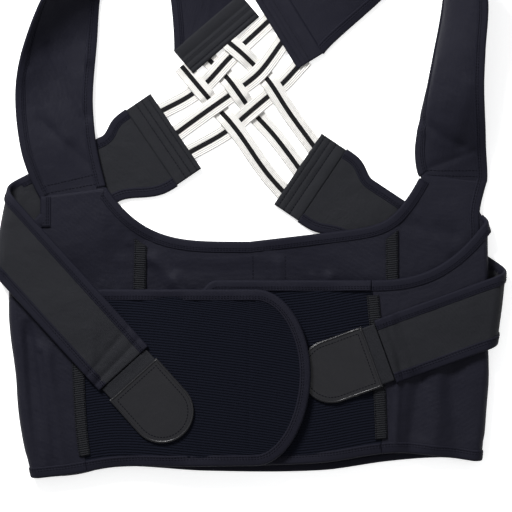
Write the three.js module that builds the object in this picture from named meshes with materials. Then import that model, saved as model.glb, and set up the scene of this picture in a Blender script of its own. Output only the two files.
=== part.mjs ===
import * as THREE from 'three';

// Posture corrector: a vest of soft foam fabric laid flat, front up, on a surface.
// Millimetres, +X to the right, +Y to the top of the garment, +Z up.
// The origin is the middle of the back panel's underside, on the surface.

// Driving sizes
const halfWidth = 212;          // middle to the outside of a side fold
const backHeight = 200;         // length that the heights in the tables are shares of
const bodyWall = 2.6;           // foam fabric of the panels and flaps
const strapWall = 2.4;          // foam fabric of the straps
const strapWidth = 58;          // shoulder strap where it lies flat
const pullWidth = 56;           // pull strap
const flareWidth = 76;          // pull strap where it is sewn into its cuff
const flareLength = 45;         // from the cuff to where the pull strap has its own width
const settleLength = 50;        // in which the pull strap comes down onto the flap
const cuffLength = 24;          // along the strap
const cuffWall = 1.4;           // one layer of a cuff
const tapeWidth = 15;
const tapeWall = 1.2;
const tabLength = 66;           // straight edge to the round tip
const tabWidth = 56;
const tabWall = 2;
const linkLength = 12;          // from the pull strap to the tab
const linkWidth = 52.5;
const bindingWidth = 8.5;       // how far a binding reaches in from the edge
const bindingWall = 0.7;
const channelWidth = 11;        // tape over a stay
const channelWall = 1;
const hollow = 9.5;             // between the back and the front, where the torso goes
const foldDepth = 3;            // deepest soft fold in a panel
const clearance = 0.3;          // between neighbouring pieces
const bindingGap = 0.6;         // between a panel and the binding round its edge
const liftMargin = 10;          // beside a pull strap, where the back layer stays lifted
const liftRamp = 48;            // in which the lifted back layer comes down again
const channelMargin = 8;        // beside a channel, where what lies on it stays raised
const curl = 2.2;               // how much of a shoulder strap's turn is near its curled edge

// Heights of the layers, each the middle of its wall
const edgeRoom = bindingWall + bindingGap;
const cuffThickness = 2 * cuffWall + tapeWall + 2 * clearance;
const crossLevel = cuffThickness / 2;
const backLevel = bodyWall / 2;
const frontLevel = backLevel + bodyWall + hollow;
const seat = 2 * clearance;     // under what lies on a curved panel
const flapStep = bodyWall + seat + tabWall + clearance + edgeRoom;
const pullLevel = frontLevel + bodyWall / 2 + edgeRoom + seat + strapWall / 2 + edgeRoom;
const strapLift = crossLevel + strapWall / 2 + edgeRoom + 2 * clearance;

// Side folds: x as a share of halfWidth at heights that are shares of backHeight.
const sideFold = {
  left: [
    { y: -0.52, x: 0.912 }, { y: -0.30, x: 0.955 }, { y: 0.0, x: 0.984 },
    { y: 0.30, x: 1.013 }, { y: 0.52, x: 1.004 },
  ],
  right: [
    { y: -0.45, x: 0.966 }, { y: -0.19, x: 0.988 }, { y: 0.04, x: 1.004 }, { y: 0.56, x: 1.002 },
    { y: 0.66, x: 1.002 }, { y: 0.80, x: 1.035 },
  ],
};

// Lower edges: across is a share of the way from the middle to a side fold.
const lowerEdge = [
  { across: -1, back: -0.515, front: -0.515 },
  { across: -0.83, back: -0.504, front: -0.497 },
  { across: -0.62, back: -0.466, front: -0.465 },
  { across: -0.20, back: -0.486, front: -0.461 },
  { across: 0.31, back: -0.484, front: -0.448 },
  { across: 0.62, back: -0.443, front: -0.405 },
  { across: 0.85, back: -0.427, front: -0.420 },
  { across: 1, back: -0.440, front: -0.440 },
];

// Shape of each half of the garment. Corner, seams and root are shares of the way to the fold.
const halves = {
  left: {
    sign: -1, slope: 0, cornerAt: 0.62, cornerRise: 0.24, cornerPower: 4,
    footOuter: 0.72, sideSeam: 0.895, armDip: 0.645, foldTop: 0.500, rootLow: 0.765, rootHigh: 0.745,
    frontTop: 0.305, sweepFrom: 0.62, sweepPower: 3, backChannel: 0.47,
  },
  right: {
    sign: 1, slope: 0.12, cornerAt: 0.715, cornerRise: 0.215, cornerPower: 11,
    footOuter: 0.79, sideSeam: 0.985, armDip: 0.660, foldTop: 0.610, rootLow: 0.585, rootHigh: 0.520,
    frontTop: 0.345, sweepFrom: 0.5, sweepPower: 2.8, backChannel: 0.61,
  },
};
const neckDip = 0.515;          // lowest point of the neckline, share of backHeight
const turnDrop = 0.05;          // how far the armhole falls round a side fold, share of backHeight

// Round ends of the flaps, measured from the middle as shares of halfWidth.
const flapEnds = {
  left: { start: 0.025, bulge: 0.230 },
  right: { start: -0.14, bulge: -0.13 },
};

// Soft folds in the panels: from one point to another as shares, depth as a share of foldDepth.
const folds = [
  { layer: 'front', x1: -0.95, y1: 0.10, x2: -0.93, y2: -0.45, reach: 0.045, depth: -1 },
  { layer: 'front', x1: -0.86, y1: 0.05, x2: -0.84, y2: -0.45, reach: 0.030, depth: 0.4 },
  { layer: 'front', x1: 0.70, y1: -0.10, x2: 0.66, y2: -0.42, reach: 0.035, depth: -0.8 },
  { layer: 'front', x1: 0.84, y1: -0.05, x2: 0.86, y2: -0.42, reach: 0.050, depth: -0.7 },
  { layer: 'back', x1: -0.31, y1: 0.36, x2: -0.24, y2: 0.20, reach: 0.050, depth: 0.7 },
  { layer: 'back', x1: 0.33, y1: 0.36, x2: 0.32, y2: 0.15, reach: 0.050, depth: 0.6 },
];

// Pull straps: middle of the cuff's closed end, middle of the side roll and start of the link.
// The roll is where the strap turns up round the side.
const pulls = {
  left: {
    cuff: 'lower_left', from: { x: -0.395, y: 0.945 },
    roll: { x: -1.030, y: 0.600 }, to: { x: -0.517, y: -0.002 },
  },
  right: {
    cuff: 'lower_right', from: { x: 0.277, y: 0.785 },
    roll: { x: 1.044, y: 0.245 }, to: { x: 0.5625, y: 0.060 },
  },
};

// Shoulder straps from the back panel to the upper cuff. Height and width are shares of strapWidth,
// tilts are degrees that the outer and the inner half turn about the strap's length.
const shoulders = {
  left: [
    { x: -0.742, y: 0.744, z: 0.11, width: 0.98, outer: 0, inner: 0 },
    { x: -0.795, y: 0.93, z: 0.11, width: 1.10, outer: 2, inner: 4 },
    { x: -0.815, y: 1.18, z: 0.10, width: 1.14, outer: 14, inner: 3 },
    { x: -0.775, y: 1.42, z: 0.07, width: 1.12, outer: 62, inner: 8 },
    { x: -0.705, y: 1.66, z: 0.05, width: 1.06, outer: 100, inner: 30 },
    { x: -0.595, y: 1.86, z: 0.05, width: 1.02, outer: 98, inner: 62 },
    { x: -0.455, y: 1.90, z: 0.05, width: 1.00, outer: 92, inner: 66 },
    { x: -0.320, y: 1.84, z: 0.05, width: 0.98, outer: 58, inner: 34 },
    { x: -0.230, y: 1.72, z: 0.045, width: 0.90, outer: 16, inner: 10 },
    { x: -0.190, y: 1.61, z: 0.04, width: 0.84, outer: 0, inner: 0 },
  ],
  right: [
    { x: 0.843, y: 0.81, z: 0.05, width: 1.14, outer: 0, inner: 0 },
    { x: 0.835, y: 0.93, z: 0.05, width: 1.05, outer: 0, inner: 20 },
    { x: 0.848, y: 1.14, z: 0.05, width: 1.02, outer: 4, inner: 78 },
    { x: 0.872, y: 1.36, z: 0.05, width: 1.00, outer: 10, inner: 112 },
    { x: 0.892, y: 1.58, z: 0.05, width: 1.00, outer: 28, inner: 108 },
    { x: 0.870, y: 1.78, z: 0.05, width: 1.00, outer: 58, inner: 100 },
    { x: 0.765, y: 1.92, z: 0.05, width: 1.00, outer: 76, inner: 86 },
    { x: 0.615, y: 1.86, z: 0.05, width: 1.00, outer: 62, inner: 50 },
    { x: 0.455, y: 1.70, z: 0.045, width: 1.02, outer: 16, inner: 12 },
    { x: 0.235, y: 1.56, z: 0.04, width: 1.14, outer: 0, inner: 0 },
  ],
};

// Elastic tapes: middle lines as shares, and which crossing tapes each one passes over.
const tapes = {
  rise_1: {
    line: [[-0.357, 1.106], [-0.262, 1.160], [-0.178, 1.228], [-0.075, 1.346], [0.055, 1.475]],
    over: ['fall_2'],
  },
  rise_2: {
    line: [[-0.300, 1.006], [-0.183, 1.096], [-0.091, 1.165], [0.034, 1.264], [0.126, 1.392]],
    over: ['fall_1', 'fall_3'],
  },
  rise_3: {
    line: [[-0.242, 0.922], [-0.105, 1.005], [0.018, 1.112], [0.127, 1.212], [0.205, 1.300]],
    over: ['fall_2'],
  },
  fall_1: {
    line: [[-0.262, 1.268], [-0.174, 1.157], [-0.060, 1.020], [0.062, 0.836], [0.145, 0.735]],
    over: ['rise_1', 'rise_3'],
  },
  fall_2: {
    line: [[-0.190, 1.345], [-0.095, 1.245], [0.000, 1.110], [0.105, 0.985], [0.205, 0.845]],
    over: ['rise_2'],
  },
  fall_3: {
    line: [[-0.115, 1.425], [-0.020, 1.340], [0.075, 1.235], [0.165, 1.090], [0.265, 0.945]],
    over: ['rise_1', 'rise_3'],
  },
};

// Cuffs: the two corners of the end that faces the crossing, and the way that slanted sides run.
const cuffs = {
  upper_left: { a: [-0.305, 1.236], b: [-0.029, 1.487], sides: [-0.05, 1] },
  upper_right: { a: [0.199, 1.285], b: [0.012, 1.606] },
  lower_left: { a: [-0.415, 1.175], b: [-0.203, 0.845] },
  lower_right: { a: [0.299, 0.999], b: [0.100, 0.686] },
};

// Curves and small helpers
const radians = Math.PI / 180;
const mix = (a, b, t) => a + (b - a) * t;
const clamp01 = (t) => Math.min(1, Math.max(0, t));
const smooth = (t) => clamp01(t) ** 2 * (3 - 2 * clamp01(t));
const vec = (x, y, z) => new THREE.Vector3(x, y, z);
const place = ({ x, y }) => new THREE.Vector2(x * halfWidth, y * backHeight);

// Shares from 0 to 1 in equal steps, or from several stretches of [start, end, steps].
const stretches = (...parts) => parts.flatMap(([start, end, steps], i) => (
  Array.from({ length: steps + (i === parts.length - 1) }, (_, k) => mix(start, end, k / steps))));
const even = (steps) => stretches([0, 1, steps]);

// Smooth value of one column of a table at a key, with the rows in rising order of that key.
function look(rows, key, column, at) {
  let i = 0;
  while (i < rows.length - 2 && at > rows[i + 1][key]) i += 1;
  const slope = (j) => {
    const a = rows[Math.max(0, j - 1)];
    const b = rows[Math.min(rows.length - 1, j + 1)];
    return (b[column] - a[column]) / (b[key] - a[key]);
  };
  const span = rows[i + 1][key] - rows[i][key];
  const t = clamp01((at - rows[i][key]) / span);
  const keep = 2 * t ** 3 - 3 * t ** 2 + 1;
  return keep * rows[i][column] + (1 - keep) * rows[i + 1][column]
    + (t ** 3 - 2 * t ** 2 + t) * span * slope(i) + (t ** 3 - t ** 2) * span * slope(i + 1);
}

// The garment's body: back layer, side folds and front layer are one smooth surface.
const halfOf = (across) => (across < 0 ? halves.left : halves.right);
const foldTable = (across) => (across < 0 ? sideFold.left : sideFold.right);
const foldOuter = (across, y) => halfWidth * look(foldTable(across), 'y', 'x', y / backHeight);

function bottomAt(across, layer) {
  return backHeight * look(lowerEdge, 'across', layer, across);
}

// Upper edge of the back layer: neckline, then the shoulder strap's foot, then the armhole.
function backTopAt(across) {
  const half = halfOf(across);
  const t = Math.abs(across);
  const corner = neckDip + half.slope * half.cornerAt + half.cornerRise;
  if (t < half.cornerAt) {
    const rise = half.cornerRise * (t / half.cornerAt) ** half.cornerPower;
    return backHeight * (neckDip + half.slope * t + rise);
  }
  if (t <= half.sideSeam) {
    return backHeight * mix(corner, half.footOuter, (t - half.cornerAt) / (half.sideSeam - half.cornerAt));
  }
  const s = (t - half.sideSeam) / (1 - half.sideSeam);
  return backHeight * mix(half.armDip, half.foldTop + turnDrop / 2, s);
}

function frontTopAt(across) {
  const half = halfOf(across);
  const s = clamp01((Math.abs(across) - half.sweepFrom) / (1 - half.sweepFrom));
  return backHeight * mix(half.frontTop, half.foldTop - turnDrop / 2, s ** half.sweepPower);
}

function foldHeight(layer, x, y) {
  let sum = 0;
  for (const fold of folds.filter((row) => row.layer === layer)) {
    const a = place({ x: fold.x1, y: fold.y1 });
    const b = place({ x: fold.x2, y: fold.y2 });
    const along = b.clone().sub(a);
    const t = clamp01(vec(x - a.x, y - a.y, 0).dot(vec(along.x, along.y, 0)) / along.lengthSq());
    const off = Math.hypot(x - a.x - t * along.x, y - a.y - t * along.y) / (fold.reach * halfWidth);
    sum += fold.depth * foldDepth * Math.exp(-off * off);
  }
  return sum;
}

// Pull strap laid out flat: distance along from the cuff and across, then rolled round the side.
function pullFrame({ from, roll, to }) {
  const [start, turn, end] = [place(from), place(roll), place(to)];
  const out = turn.clone().sub(start);
  const back = end.clone().sub(turn);
  const flatLength = out.length() + back.length();
  const axis = out.clone().normalize().add(back.normalize()).normalize();
  out.normalize();
  const away = new THREE.Vector2(-axis.y, axis.x);
  if (away.dot(out) < 0) away.negate();
  const radius = (pullLevel - crossLevel) / 2;
  const spare = (Math.PI - 2) * radius / out.dot(away);
  return { start, turn, out, axis, away, radius, length: flatLength + spare };
}

const pullFrames = { left: pullFrame(pulls.left), right: pullFrame(pulls.right) };

// How high the back layer is lifted where a pull strap runs beneath it.
function liftAt(x, y) {
  let lift = 0;
  for (const frame of Object.values(pullFrames)) {
    const rel = new THREE.Vector2(x, y).sub(frame.start);
    const off = Math.abs(rel.cross(frame.out));
    const along = rel.dot(frame.out);
    const beside = 1 - smooth((off - pullWidth / 2 - liftMargin) / liftRamp);
    lift = Math.max(lift, beside * smooth((along + 2 * liftRamp) / liftRamp));
  }
  return lift * strapLift;
}

// The back layer is raised along its bound edges, over a band this many bindings wide.
const edgeBand = 1.8;
function backZ(across, x, y) {
  const low = 1 - smooth((y - bottomAt(across, 'back')) / bindingWidth - edgeBand);
  const high = smooth((y - neckDip * backHeight + 3 * bindingWidth) / (1.5 * bindingWidth));
  const edge = edgeRoom * Math.max(low, high);
  const inside = 1 - smooth((Math.abs(across) - 0.9) / 0.1);
  return backLevel + Math.max(edge, liftAt(x, y)) + inside * foldHeight('back', x, y);
}

// Soft folds in the front layer end at this share of halfWidth.
const foldsEnd = 0.94;

// The flat layers end where the widest fold begins.
const foldRoom = (frontLevel - backLevel + bodyWall) / 2;
const layerX = (across, y) => across * (foldOuter(across, y) - foldRoom);

// across runs from -1 to 1 on the back layer and on the front layer, y is the height.
function backPoint(across, y) {
  const x = layerX(across, y);
  return vec(x, y, backZ(across, x, y));
}

function frontPoint(across, y, lift = 0) {
  const x = layerX(across, y);
  const inside = 1 - smooth((Math.abs(across) - 0.96) / 0.04);
  return vec(x, y, frontLevel + lift + inside * foldHeight('front', x, y));
}

const rootAt = (half, v) => mix(half.rootLow, half.rootHigh, v);

// Side panel: u goes from the seam on the back, round the fold, to the root of the flap.
const backShare = 0.2;
const turnShare = 0.5;
function sidePoint(half, u, v) {
  const gap = clearance / halfWidth;
  if (u <= backShare) {
    const across = mix(half.sideSeam + 2 * gap, 1, u / backShare) * half.sign;
    return backPoint(across, mix(bottomAt(across, 'back'), backTopAt(across), v));
  }
  if (u >= turnShare) {
    const across = mix(1, rootAt(half, v) + gap, (u - turnShare) / (1 - turnShare)) * half.sign;
    return frontPoint(across, mix(bottomAt(across, 'front'), frontTopAt(across), v));
  }
  const turned = (u - backShare) / (turnShare - backShare);
  const top = mix(backTopAt(half.sign), frontTopAt(half.sign), turned);
  const y = mix(bottomAt(half.sign, 'back'), top, v);
  const start = backPoint(half.sign, y);
  const radius = (frontLevel - start.z) / 2;
  const angle = Math.PI * turned;
  return vec(start.x + half.sign * radius * Math.sin(angle), y, start.z + radius * (1 - Math.cos(angle)));
}

// Normal of a layer that is a height over x and y.
function facing(height, { x, y }) {
  const step = 0.5;
  const slopeX = (height(x + step, y) - height(x - step, y)) / (2 * step);
  const slopeY = (height(x, y + step) - height(x, y - step)) / (2 * step);
  return vec(-slopeX, -slopeY, 1).normalize();
}
const acrossAt = (side, x, y) => x / (foldOuter(side, y) - foldRoom);

const backFacing = (at) => facing((x, y) => backZ(acrossAt(x, x, y), x, y), at);
function backPanelPoint(u, v) {
  const across = mix(-halves.left.sideSeam, halves.right.sideSeam, u);
  return backPoint(across, mix(bottomAt(across, 'back'), backTopAt(across), v));
}

// A flap ends in half an ellipse, so its rows end at different places.
const flapRise = (half, across) => (half.sign > 0 ? 0 : flapStep * smooth((across + 0.60) / 0.32));
function flapPoint(half, end, u, w) {
  const v = (1 - Math.cos(Math.PI * w)) / 2;
  const tip = end.start + end.bulge * Math.sin(Math.PI * w);
  const across = mix(half.sign * rootAt(half, v), tip, u);
  const high = half.sign * across < 0 ? backHeight * half.frontTop : frontTopAt(across);
  return frontPoint(across, mix(bottomAt(across, 'front'), high, v), flapRise(half, across));
}

// Height of the middle of a flap's wall.
function flapZ(half, x, y) {
  const across = acrossAt(half.sign, x, y);
  return frontLevel + flapRise(half, across) + foldHeight('front', x, y);
}

// Middle of a wall of the given thickness that lies on the front of one half and over its channel.
function onFront(half, x, y, wall) {
  const low = bottomAt(half.sign * half.rootHigh, 'front');
  const v = clamp01((y - low) / (backHeight * half.frontTop - low));
  const channelX = half.sign * rootAt(half, v) * (halfWidth - channelMargin);
  const off = Math.abs(x - channelX) - channelWidth / 2 - channelMargin;
  const over = (channelWall + seat) * (1 - smooth(off / channelMargin));
  const ground = Math.abs(x) < halfWidth * foldsEnd ? flapZ(half, x, y) : frontLevel;
  return ground + over + bodyWall / 2 + seat + wall / 2;
}

function pullPoint(side, s, w) {
  const frame = pullFrames[side];
  const across = new THREE.Vector2(-frame.out.y, frame.out.x);
  const flat = frame.start.clone().addScaledVector(frame.out, s).addScaledVector(across, w);
  const rel = flat.sub(frame.turn);
  const along = rel.dot(frame.axis);
  const beyond = rel.dot(frame.away) + frame.radius;
  const arc = Math.PI * frame.radius;
  const angle = clamp01(beyond / arc) * Math.PI;
  const reach = frame.radius * Math.sin(angle) + Math.min(beyond, 0) - Math.max(beyond - arc, 0);
  const at = frame.turn.clone().addScaledVector(frame.axis, along)
    .addScaledVector(frame.away, reach - frame.radius);
  let z = crossLevel + frame.radius * (1 - Math.cos(angle));
  if (beyond > arc) {
    const low = onFront(halves[side], at.x, at.y, strapWall) + clearance;
    z = Math.max(low, mix(z, low, smooth((s - frame.length + 1.2 * settleLength) / settleLength)));
  }
  return vec(at.x, at.y, z);
}

// Closed end of a cuff, from corner a to corner b, moved outwards.
function cuffFrame({ a, b, sides }) {
  const [first, last] = [place({ x: a[0], y: a[1] }), place({ x: b[0], y: b[1] })];
  const along = last.clone().sub(first).normalize();
  const outward = sides ? new THREE.Vector2(...sides).normalize() : new THREE.Vector2(-along.y, along.x);
  const middle = place({ x: 0, y: 1.15 });
  if (outward.dot(first.clone().sub(middle)) < 0) outward.negate();
  const at = (v, out) => {
    const point = first.clone().lerp(last, v).addScaledVector(outward, out);
    return vec(point.x, point.y, crossLevel);
  };
  return { at, outward };
}
const cuffFrames = Object.fromEntries(Object.entries(cuffs).map(([name, cuff]) => [name, cuffFrame(cuff)]));
const cuffBack = cuffLength + cuffWall + 2 * clearance;

// Shares of a pull strap in which its lines across begin and stop leaning.
const leanIn = 0.4;
const leanOut = 0.33;

// u runs along a pull strap, v across it from its lower to its upper edge. Near the roll the
// lines across the strap lean until they run along the roll.
function pullSheetPoint(side, u, v) {
  const { length, out, axis } = pullFrames[side];
  const hand = side === 'left' ? -1 : 1;
  const straight = u * (length - clearance);
  const width = mix(flareWidth, pullWidth, smooth(straight / flareLength));
  const w = hand * (v - 0.5) * width;
  const lean = axis.dot(out) / axis.dot(new THREE.Vector2(-out.y, out.x));
  const s = straight + lean * w * smooth(u / leanIn) * smooth((1 - u) / leanOut);
  const sewn = cuffFrames[pulls[side].cuff].at(1 - v, cuffBack + straight);
  return sewn.lerp(pullPoint(side, s, w), smooth(straight / flareLength));
}
// Steps along a pull strap are shortest round the roll.
const pullSteps = stretches([0, 0.38, 9], [0.38, 0.62, 14], [0.62, 1, 11]);

// Shoulder strap: a section turns by the outer tilt at its outer edge and by the inner tilt at
// its inner edge. Its lowest point is at the row's height and its middle at the row's place.
const sectionSteps = 16;
const footShare = 0.12;         // of a shoulder strap's length, in which it leaves the back panel
const cuffShare = 0.13;         // in which it runs into its cuff
function shoulderSection(side, u) {
  const rows = shoulders[side].map((row, i) => ({ ...row, at: i / (shoulders[side].length - 1) }));
  const value = (column, at = u) => look(rows, 'at', column, at);
  const step = 0.02;
  const heading = new THREE.Vector2(
    (value('x', u + step) - value('x', u - step)) * halfWidth,
    (value('y', u + step) - value('y', u - step)) * backHeight,
  ).normalize();
  const inward = new THREE.Vector2(heading.y, -heading.x).multiplyScalar(side === 'left' ? 1 : -1);
  const piece = value('width') * strapWidth / sectionSteps;
  const points = [{ run: 0, rise: 0 }];
  for (let i = 0; i < sectionSteps; i += 1) {
    const v = (i + 0.5) / sectionSteps;
    const ease = side === 'left' ? 1 - (1 - v) ** curl : v ** curl;
    const tilt = mix(value('outer'), value('inner'), ease) * radians;
    const last = points[i];
    points.push({ run: last.run + piece * Math.cos(tilt), rise: last.rise - piece * Math.sin(tilt) });
  }
  const runs = points.map((point) => point.run);
  const lowest = Math.min(...points.map((point) => point.rise));
  const middle = (Math.min(...runs) + Math.max(...runs)) / 2;
  return { value, inward, points, lowest, middle };
}

function shoulderPoint(side, u, v) {
  const { value, inward, points, lowest, middle } = shoulderSection(side, u);
  const i = Math.min(sectionSteps - 1, Math.floor(v * sectionSteps));
  const t = v * sectionSteps - i;
  const run = mix(points[i].run, points[i + 1].run, t) - middle;
  const rise = mix(points[i].rise, points[i + 1].rise, t) - lowest;
  const half = halves[side];
  const across = half.sign * mix(half.sideSeam, half.cornerAt, v);
  const foot = backPoint(across, backTopAt(across));
  foot.y += clearance + 0.2 * strapWall;
  const free = vec(
    value('x') * halfWidth + inward.x * run,
    value('y') * backHeight + inward.y * run,
    value('z') * strapWidth + rise,
  );
  const sewn = cuffFrames[`upper_${side}`].at(1 - v, cuffBack);
  return foot.lerp(free, smooth(u / footShare)).lerp(sewn, smooth((u - 1) / cuffShare + 1));
}

// Mesh makers
function meshOf(points, faces) {
  const geometry = new THREE.BufferGeometry();
  const numbers = points.flatMap((p) => [p.x, p.y, p.z]);
  geometry.setAttribute('position', new THREE.Float32BufferAttribute(numbers, 3));
  geometry.setIndex(faces.flat());
  let volume = 0;
  for (const [a, b, c] of faces) volume += points[a].dot(points[b].clone().cross(points[c]));
  if (volume < 0) geometry.setIndex(faces.flatMap(([a, b, c]) => [a, c, b]));
  geometry.computeVertexNormals();
  return geometry;
}

function normalAt(point, u, v) {
  const step = 0.004;
  const [u1, u2, v1, v2] = [u - step, u + step, v - step, v + step].map(clamp01);
  const du = point(u2, v).sub(point(u1, v));
  const dv = point(u, v2).sub(point(u, v1));
  return du.cross(dv).normalize();
}

// Closed wall on both sides of a surface point(u, v).
function sheet(us, vs, wall, point, normalFor) {
  const points = [];
  for (const side of [0.5, -0.5]) {
    for (const u of us) {
      for (const v of vs) {
        const at = point(u, v);
        const normal = normalFor ? normalFor(at) : normalAt(point, u, v);
        points.push(at.addScaledVector(normal, side * wall));
      }
    }
  }
  const [nu, nv] = [us.length, vs.length];
  const at = (side, i, j) => (side * nu + i) * nv + j;
  const faces = [];
  const quad = (a, b, c, d) => faces.push([a, b, c], [a, c, d]);
  for (let i = 0; i < nu - 1; i += 1) {
    for (let j = 0; j < nv - 1; j += 1) {
      quad(at(0, i, j), at(0, i + 1, j), at(0, i + 1, j + 1), at(0, i, j + 1));
      quad(at(1, i, j), at(1, i, j + 1), at(1, i + 1, j + 1), at(1, i + 1, j));
    }
    quad(at(0, i, 0), at(1, i, 0), at(1, i + 1, 0), at(0, i + 1, 0));
    quad(at(0, i, nv - 1), at(0, i + 1, nv - 1), at(1, i + 1, nv - 1), at(1, i, nv - 1));
  }
  for (let j = 0; j < nv - 1; j += 1) {
    quad(at(0, 0, j), at(0, 0, j + 1), at(1, 0, j + 1), at(1, 0, j));
    quad(at(0, nu - 1, j), at(1, nu - 1, j), at(1, nu - 1, j + 1), at(0, nu - 1, j + 1));
  }
  return meshOf(points, faces);
}

// Strip folded over an edge: frames give a point, the way out of the edge and the wall's normal.
function folded(frames, { width, inside, wall, room }) {
  const [low, high] = [inside / 2, inside / 2 + wall];
  const section = [
    [-width, -high], [room + wall, -high], [room + wall, high], [-width, high],
    [-width, low], [room, low], [room, -low], [-width, -low],
  ];
  const count = section.length;
  const points = frames.flatMap(({ at, out, normal }) => (
    section.map(([o, n]) => at.clone().addScaledVector(out, o).addScaledVector(normal, n))));
  const faces = [];
  for (let i = 0; i < frames.length - 1; i += 1) {
    for (let k = 0; k < count; k += 1) {
      const [a, b] = [i * count + k, i * count + (k + 1) % count];
      faces.push([a, b, b + count], [a, b + count, a + count]);
    }
  }
  const end = (frames.length - 1) * count;
  for (const [a, b, c, d] of [[0, 7, 6, 1], [1, 6, 5, 2], [2, 5, 4, 3]]) {
    faces.push([a, b, c], [a, c, d], [end + a, end + c, end + b], [end + a, end + d, end + c]);
  }
  return meshOf(points, faces);
}

// Binding on the edge of a sheet, through the same corners as the sheet's own mesh.
const rowInset = 0.06;          // share of a panel's height to its first row of corners
function binding(point, route, normalFor) {
  const trimmed = 5 * clearance;
  const whole = route.map(([u, v]) => point(u, v));
  const ends = [whole[0], whole.at(-1)];
  const kept = route.filter((_, i) => (
    ends.includes(whole[i]) || ends.every((end) => whole[i].distanceTo(end) > 2 * trimmed)));
  const places = kept.map(([u, v]) => point(u, v));
  const last = places.length - 1;
  const trim = (end, next) => end.add(next.clone().sub(end).setLength(trimmed));
  const frames = kept.map(([u, v], i) => {
    const onEnd = v > 0 && v < 1;
    const inner = onEnd ? point(u - 2 * rowInset, v) : point(u, Math.abs(v - rowInset));
    const out = places[i].clone().sub(inner).normalize();
    const tangent = places[Math.min(last, i + 1)].clone().sub(places[Math.max(0, i - 1)]).normalize();
    if (normalFor) {
      const normal = normalFor(places[i]);
      const square = tangent.clone().cross(normal).normalize();
      if (square.dot(out) < 0) square.negate();
      return { at: places[i].clone(), out: square, normal };
    }
    return { at: places[i].clone(), out, normal: tangent.clone().cross(out).normalize() };
  });
  trim(frames[0].at, places[1]);
  trim(frames[last].at, places[last - 1]);
  const inside = bodyWall + 2 * bindingGap;
  return folded(frames, { width: bindingWidth, inside, wall: bindingWall, room: bindingGap });
}

// Elastic tapes: a smooth middle line, tucked into the cuffs, going over and under the others.
const crossingLift = (tapeWall + seat) / 2 + 0.05 * tapeWall;
const tapeTuck = cuffLength / 3;
function tapeCurve({ line }) {
  const points = line.map(([x, y]) => place({ x, y }));
  const tuck = (end, next) => end.clone().add(end.clone().sub(next).setLength(tapeTuck));
  const all = [tuck(points[0], points[1]), ...points, tuck(points.at(-1), points.at(-2))];
  return new THREE.CatmullRomCurve3(all.map((p) => vec(p.x, p.y, 0)), false, 'centripetal');
}
const tapeCurves = Object.fromEntries(Object.entries(tapes).map(([name, tape]) => [name, tapeCurve(tape)]));

// Share along one curve where it comes nearest to another.
function meeting(curve, other) {
  const samples = 120;
  let best = { gap: Infinity, at: 0 };
  const others = other.getSpacedPoints(samples);
  curve.getSpacedPoints(samples).forEach((p, i) => {
    const gap = Math.min(...others.map((q) => p.distanceTo(q)));
    if (gap < best.gap) best = { gap, at: i / samples };
  });
  return best.at;
}

function tapeKnots(name) {
  const curve = tapeCurves[name];
  const length = curve.getLength();
  const mouth = (tapeTuck + cuffWall) / length;
  const crossed = Object.keys(tapes).filter((other) => other.slice(0, 4) !== name.slice(0, 4));
  const knots = crossed.map((other) => (
    { at: meeting(curve, tapeCurves[other]), level: tapes[name].over.includes(other) ? 1 : -1 }));
  knots.sort((a, b) => a.at - b.at);
  return { length, knots: [{ at: mouth, level: 0 }, ...knots, { at: 1 - mouth, level: 0 }] };
}

// Height of a tape: flat over half a tape's width at each side of a crossing.
function tapeHeight({ length, knots }, s) {
  if (s <= knots[0].at || s >= knots.at(-1).at) return 0;
  const i = knots.findIndex((knot) => knot.at > s) - 1;
  const [a, b] = [knots[i], knots[i + 1]];
  const flat = 0.53 * tapeWidth / length;
  const from = a.at + (a.level ? flat : 0);
  const to = b.at - (b.level ? flat : 0);
  return crossingLift * mix(a.level, b.level, smooth((s - from) / Math.max(to - from, flat / 4)));
}

function tapePoint(name, knots, s, v) {
  const curve = tapeCurves[name];
  const centre = curve.getPointAt(s);
  const tangent = curve.getTangentAt(s);
  const across = vec(-tangent.y, tangent.x, 0);
  return centre.addScaledVector(across, (v - 0.5) * tapeWidth).setZ(crossLevel + tapeHeight(knots, s));
}

// Narrow tape over a stay, raised off a panel.
function raised(point, wall, room) {
  return (u, v) => point(u, v).add(vec(0, 0, bodyWall / 2 + room + wall / 2));
}

function backChannelPoint(half, u, v) {
  const across = half.sign * half.backChannel + (v - 0.5) * channelWidth / halfWidth;
  const room = edgeBand * bindingWidth;
  return backPoint(across, mix(bottomAt(across, 'back') + room, backTopAt(across) - room, u));
}

const channelInset = 0.08;      // share of the flap's height that a front channel stops short
function frontChannelPoint(half, u, v) {
  const shift = (v - 0.5) * channelWidth / halfWidth;
  const share = mix(channelInset, 1 - channelInset, u);
  const across = half.sign * rootAt(half, share) + shift;
  return frontPoint(across, mix(bottomAt(across, 'front'), frontTopAt(across), share));
}

// Tab and link lie in line with the end of their pull strap.
function tabFrame(side) {
  const { length } = pullFrames[side];
  const start = pullPoint(side, length, 0);
  const heading = start.clone().sub(pullPoint(side, length - 5, 0)).setZ(0).normalize();
  return { start, heading, across: vec(-heading.y, heading.x, 0) };
}

function alongStrap(side, reach, across, wall) {
  const frame = tabFrame(side);
  const at = frame.start.clone().addScaledVector(frame.heading, reach).addScaledVector(frame.across, across);
  return vec(at.x, at.y, onFront(halves[side], at.x, at.y, wall));
}

function tabPoint(side, u, w) {
  const straight = tabLength - tabWidth / 2;
  const reach = straight + (tabWidth / 2) * Math.sin(Math.PI * w);
  return alongStrap(side, linkLength + u * reach, -Math.cos(Math.PI * w) * tabWidth / 2, tabWall);
}

function linkPoint(side, u, v) {
  const reach = mix(clearance, linkLength - clearance, u);
  const room = strapWall - tabWall;
  return alongStrap(side, reach, (v - 0.5) * linkWidth, strapWall).add(vec(0, 0, -room / 2));
}

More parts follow.
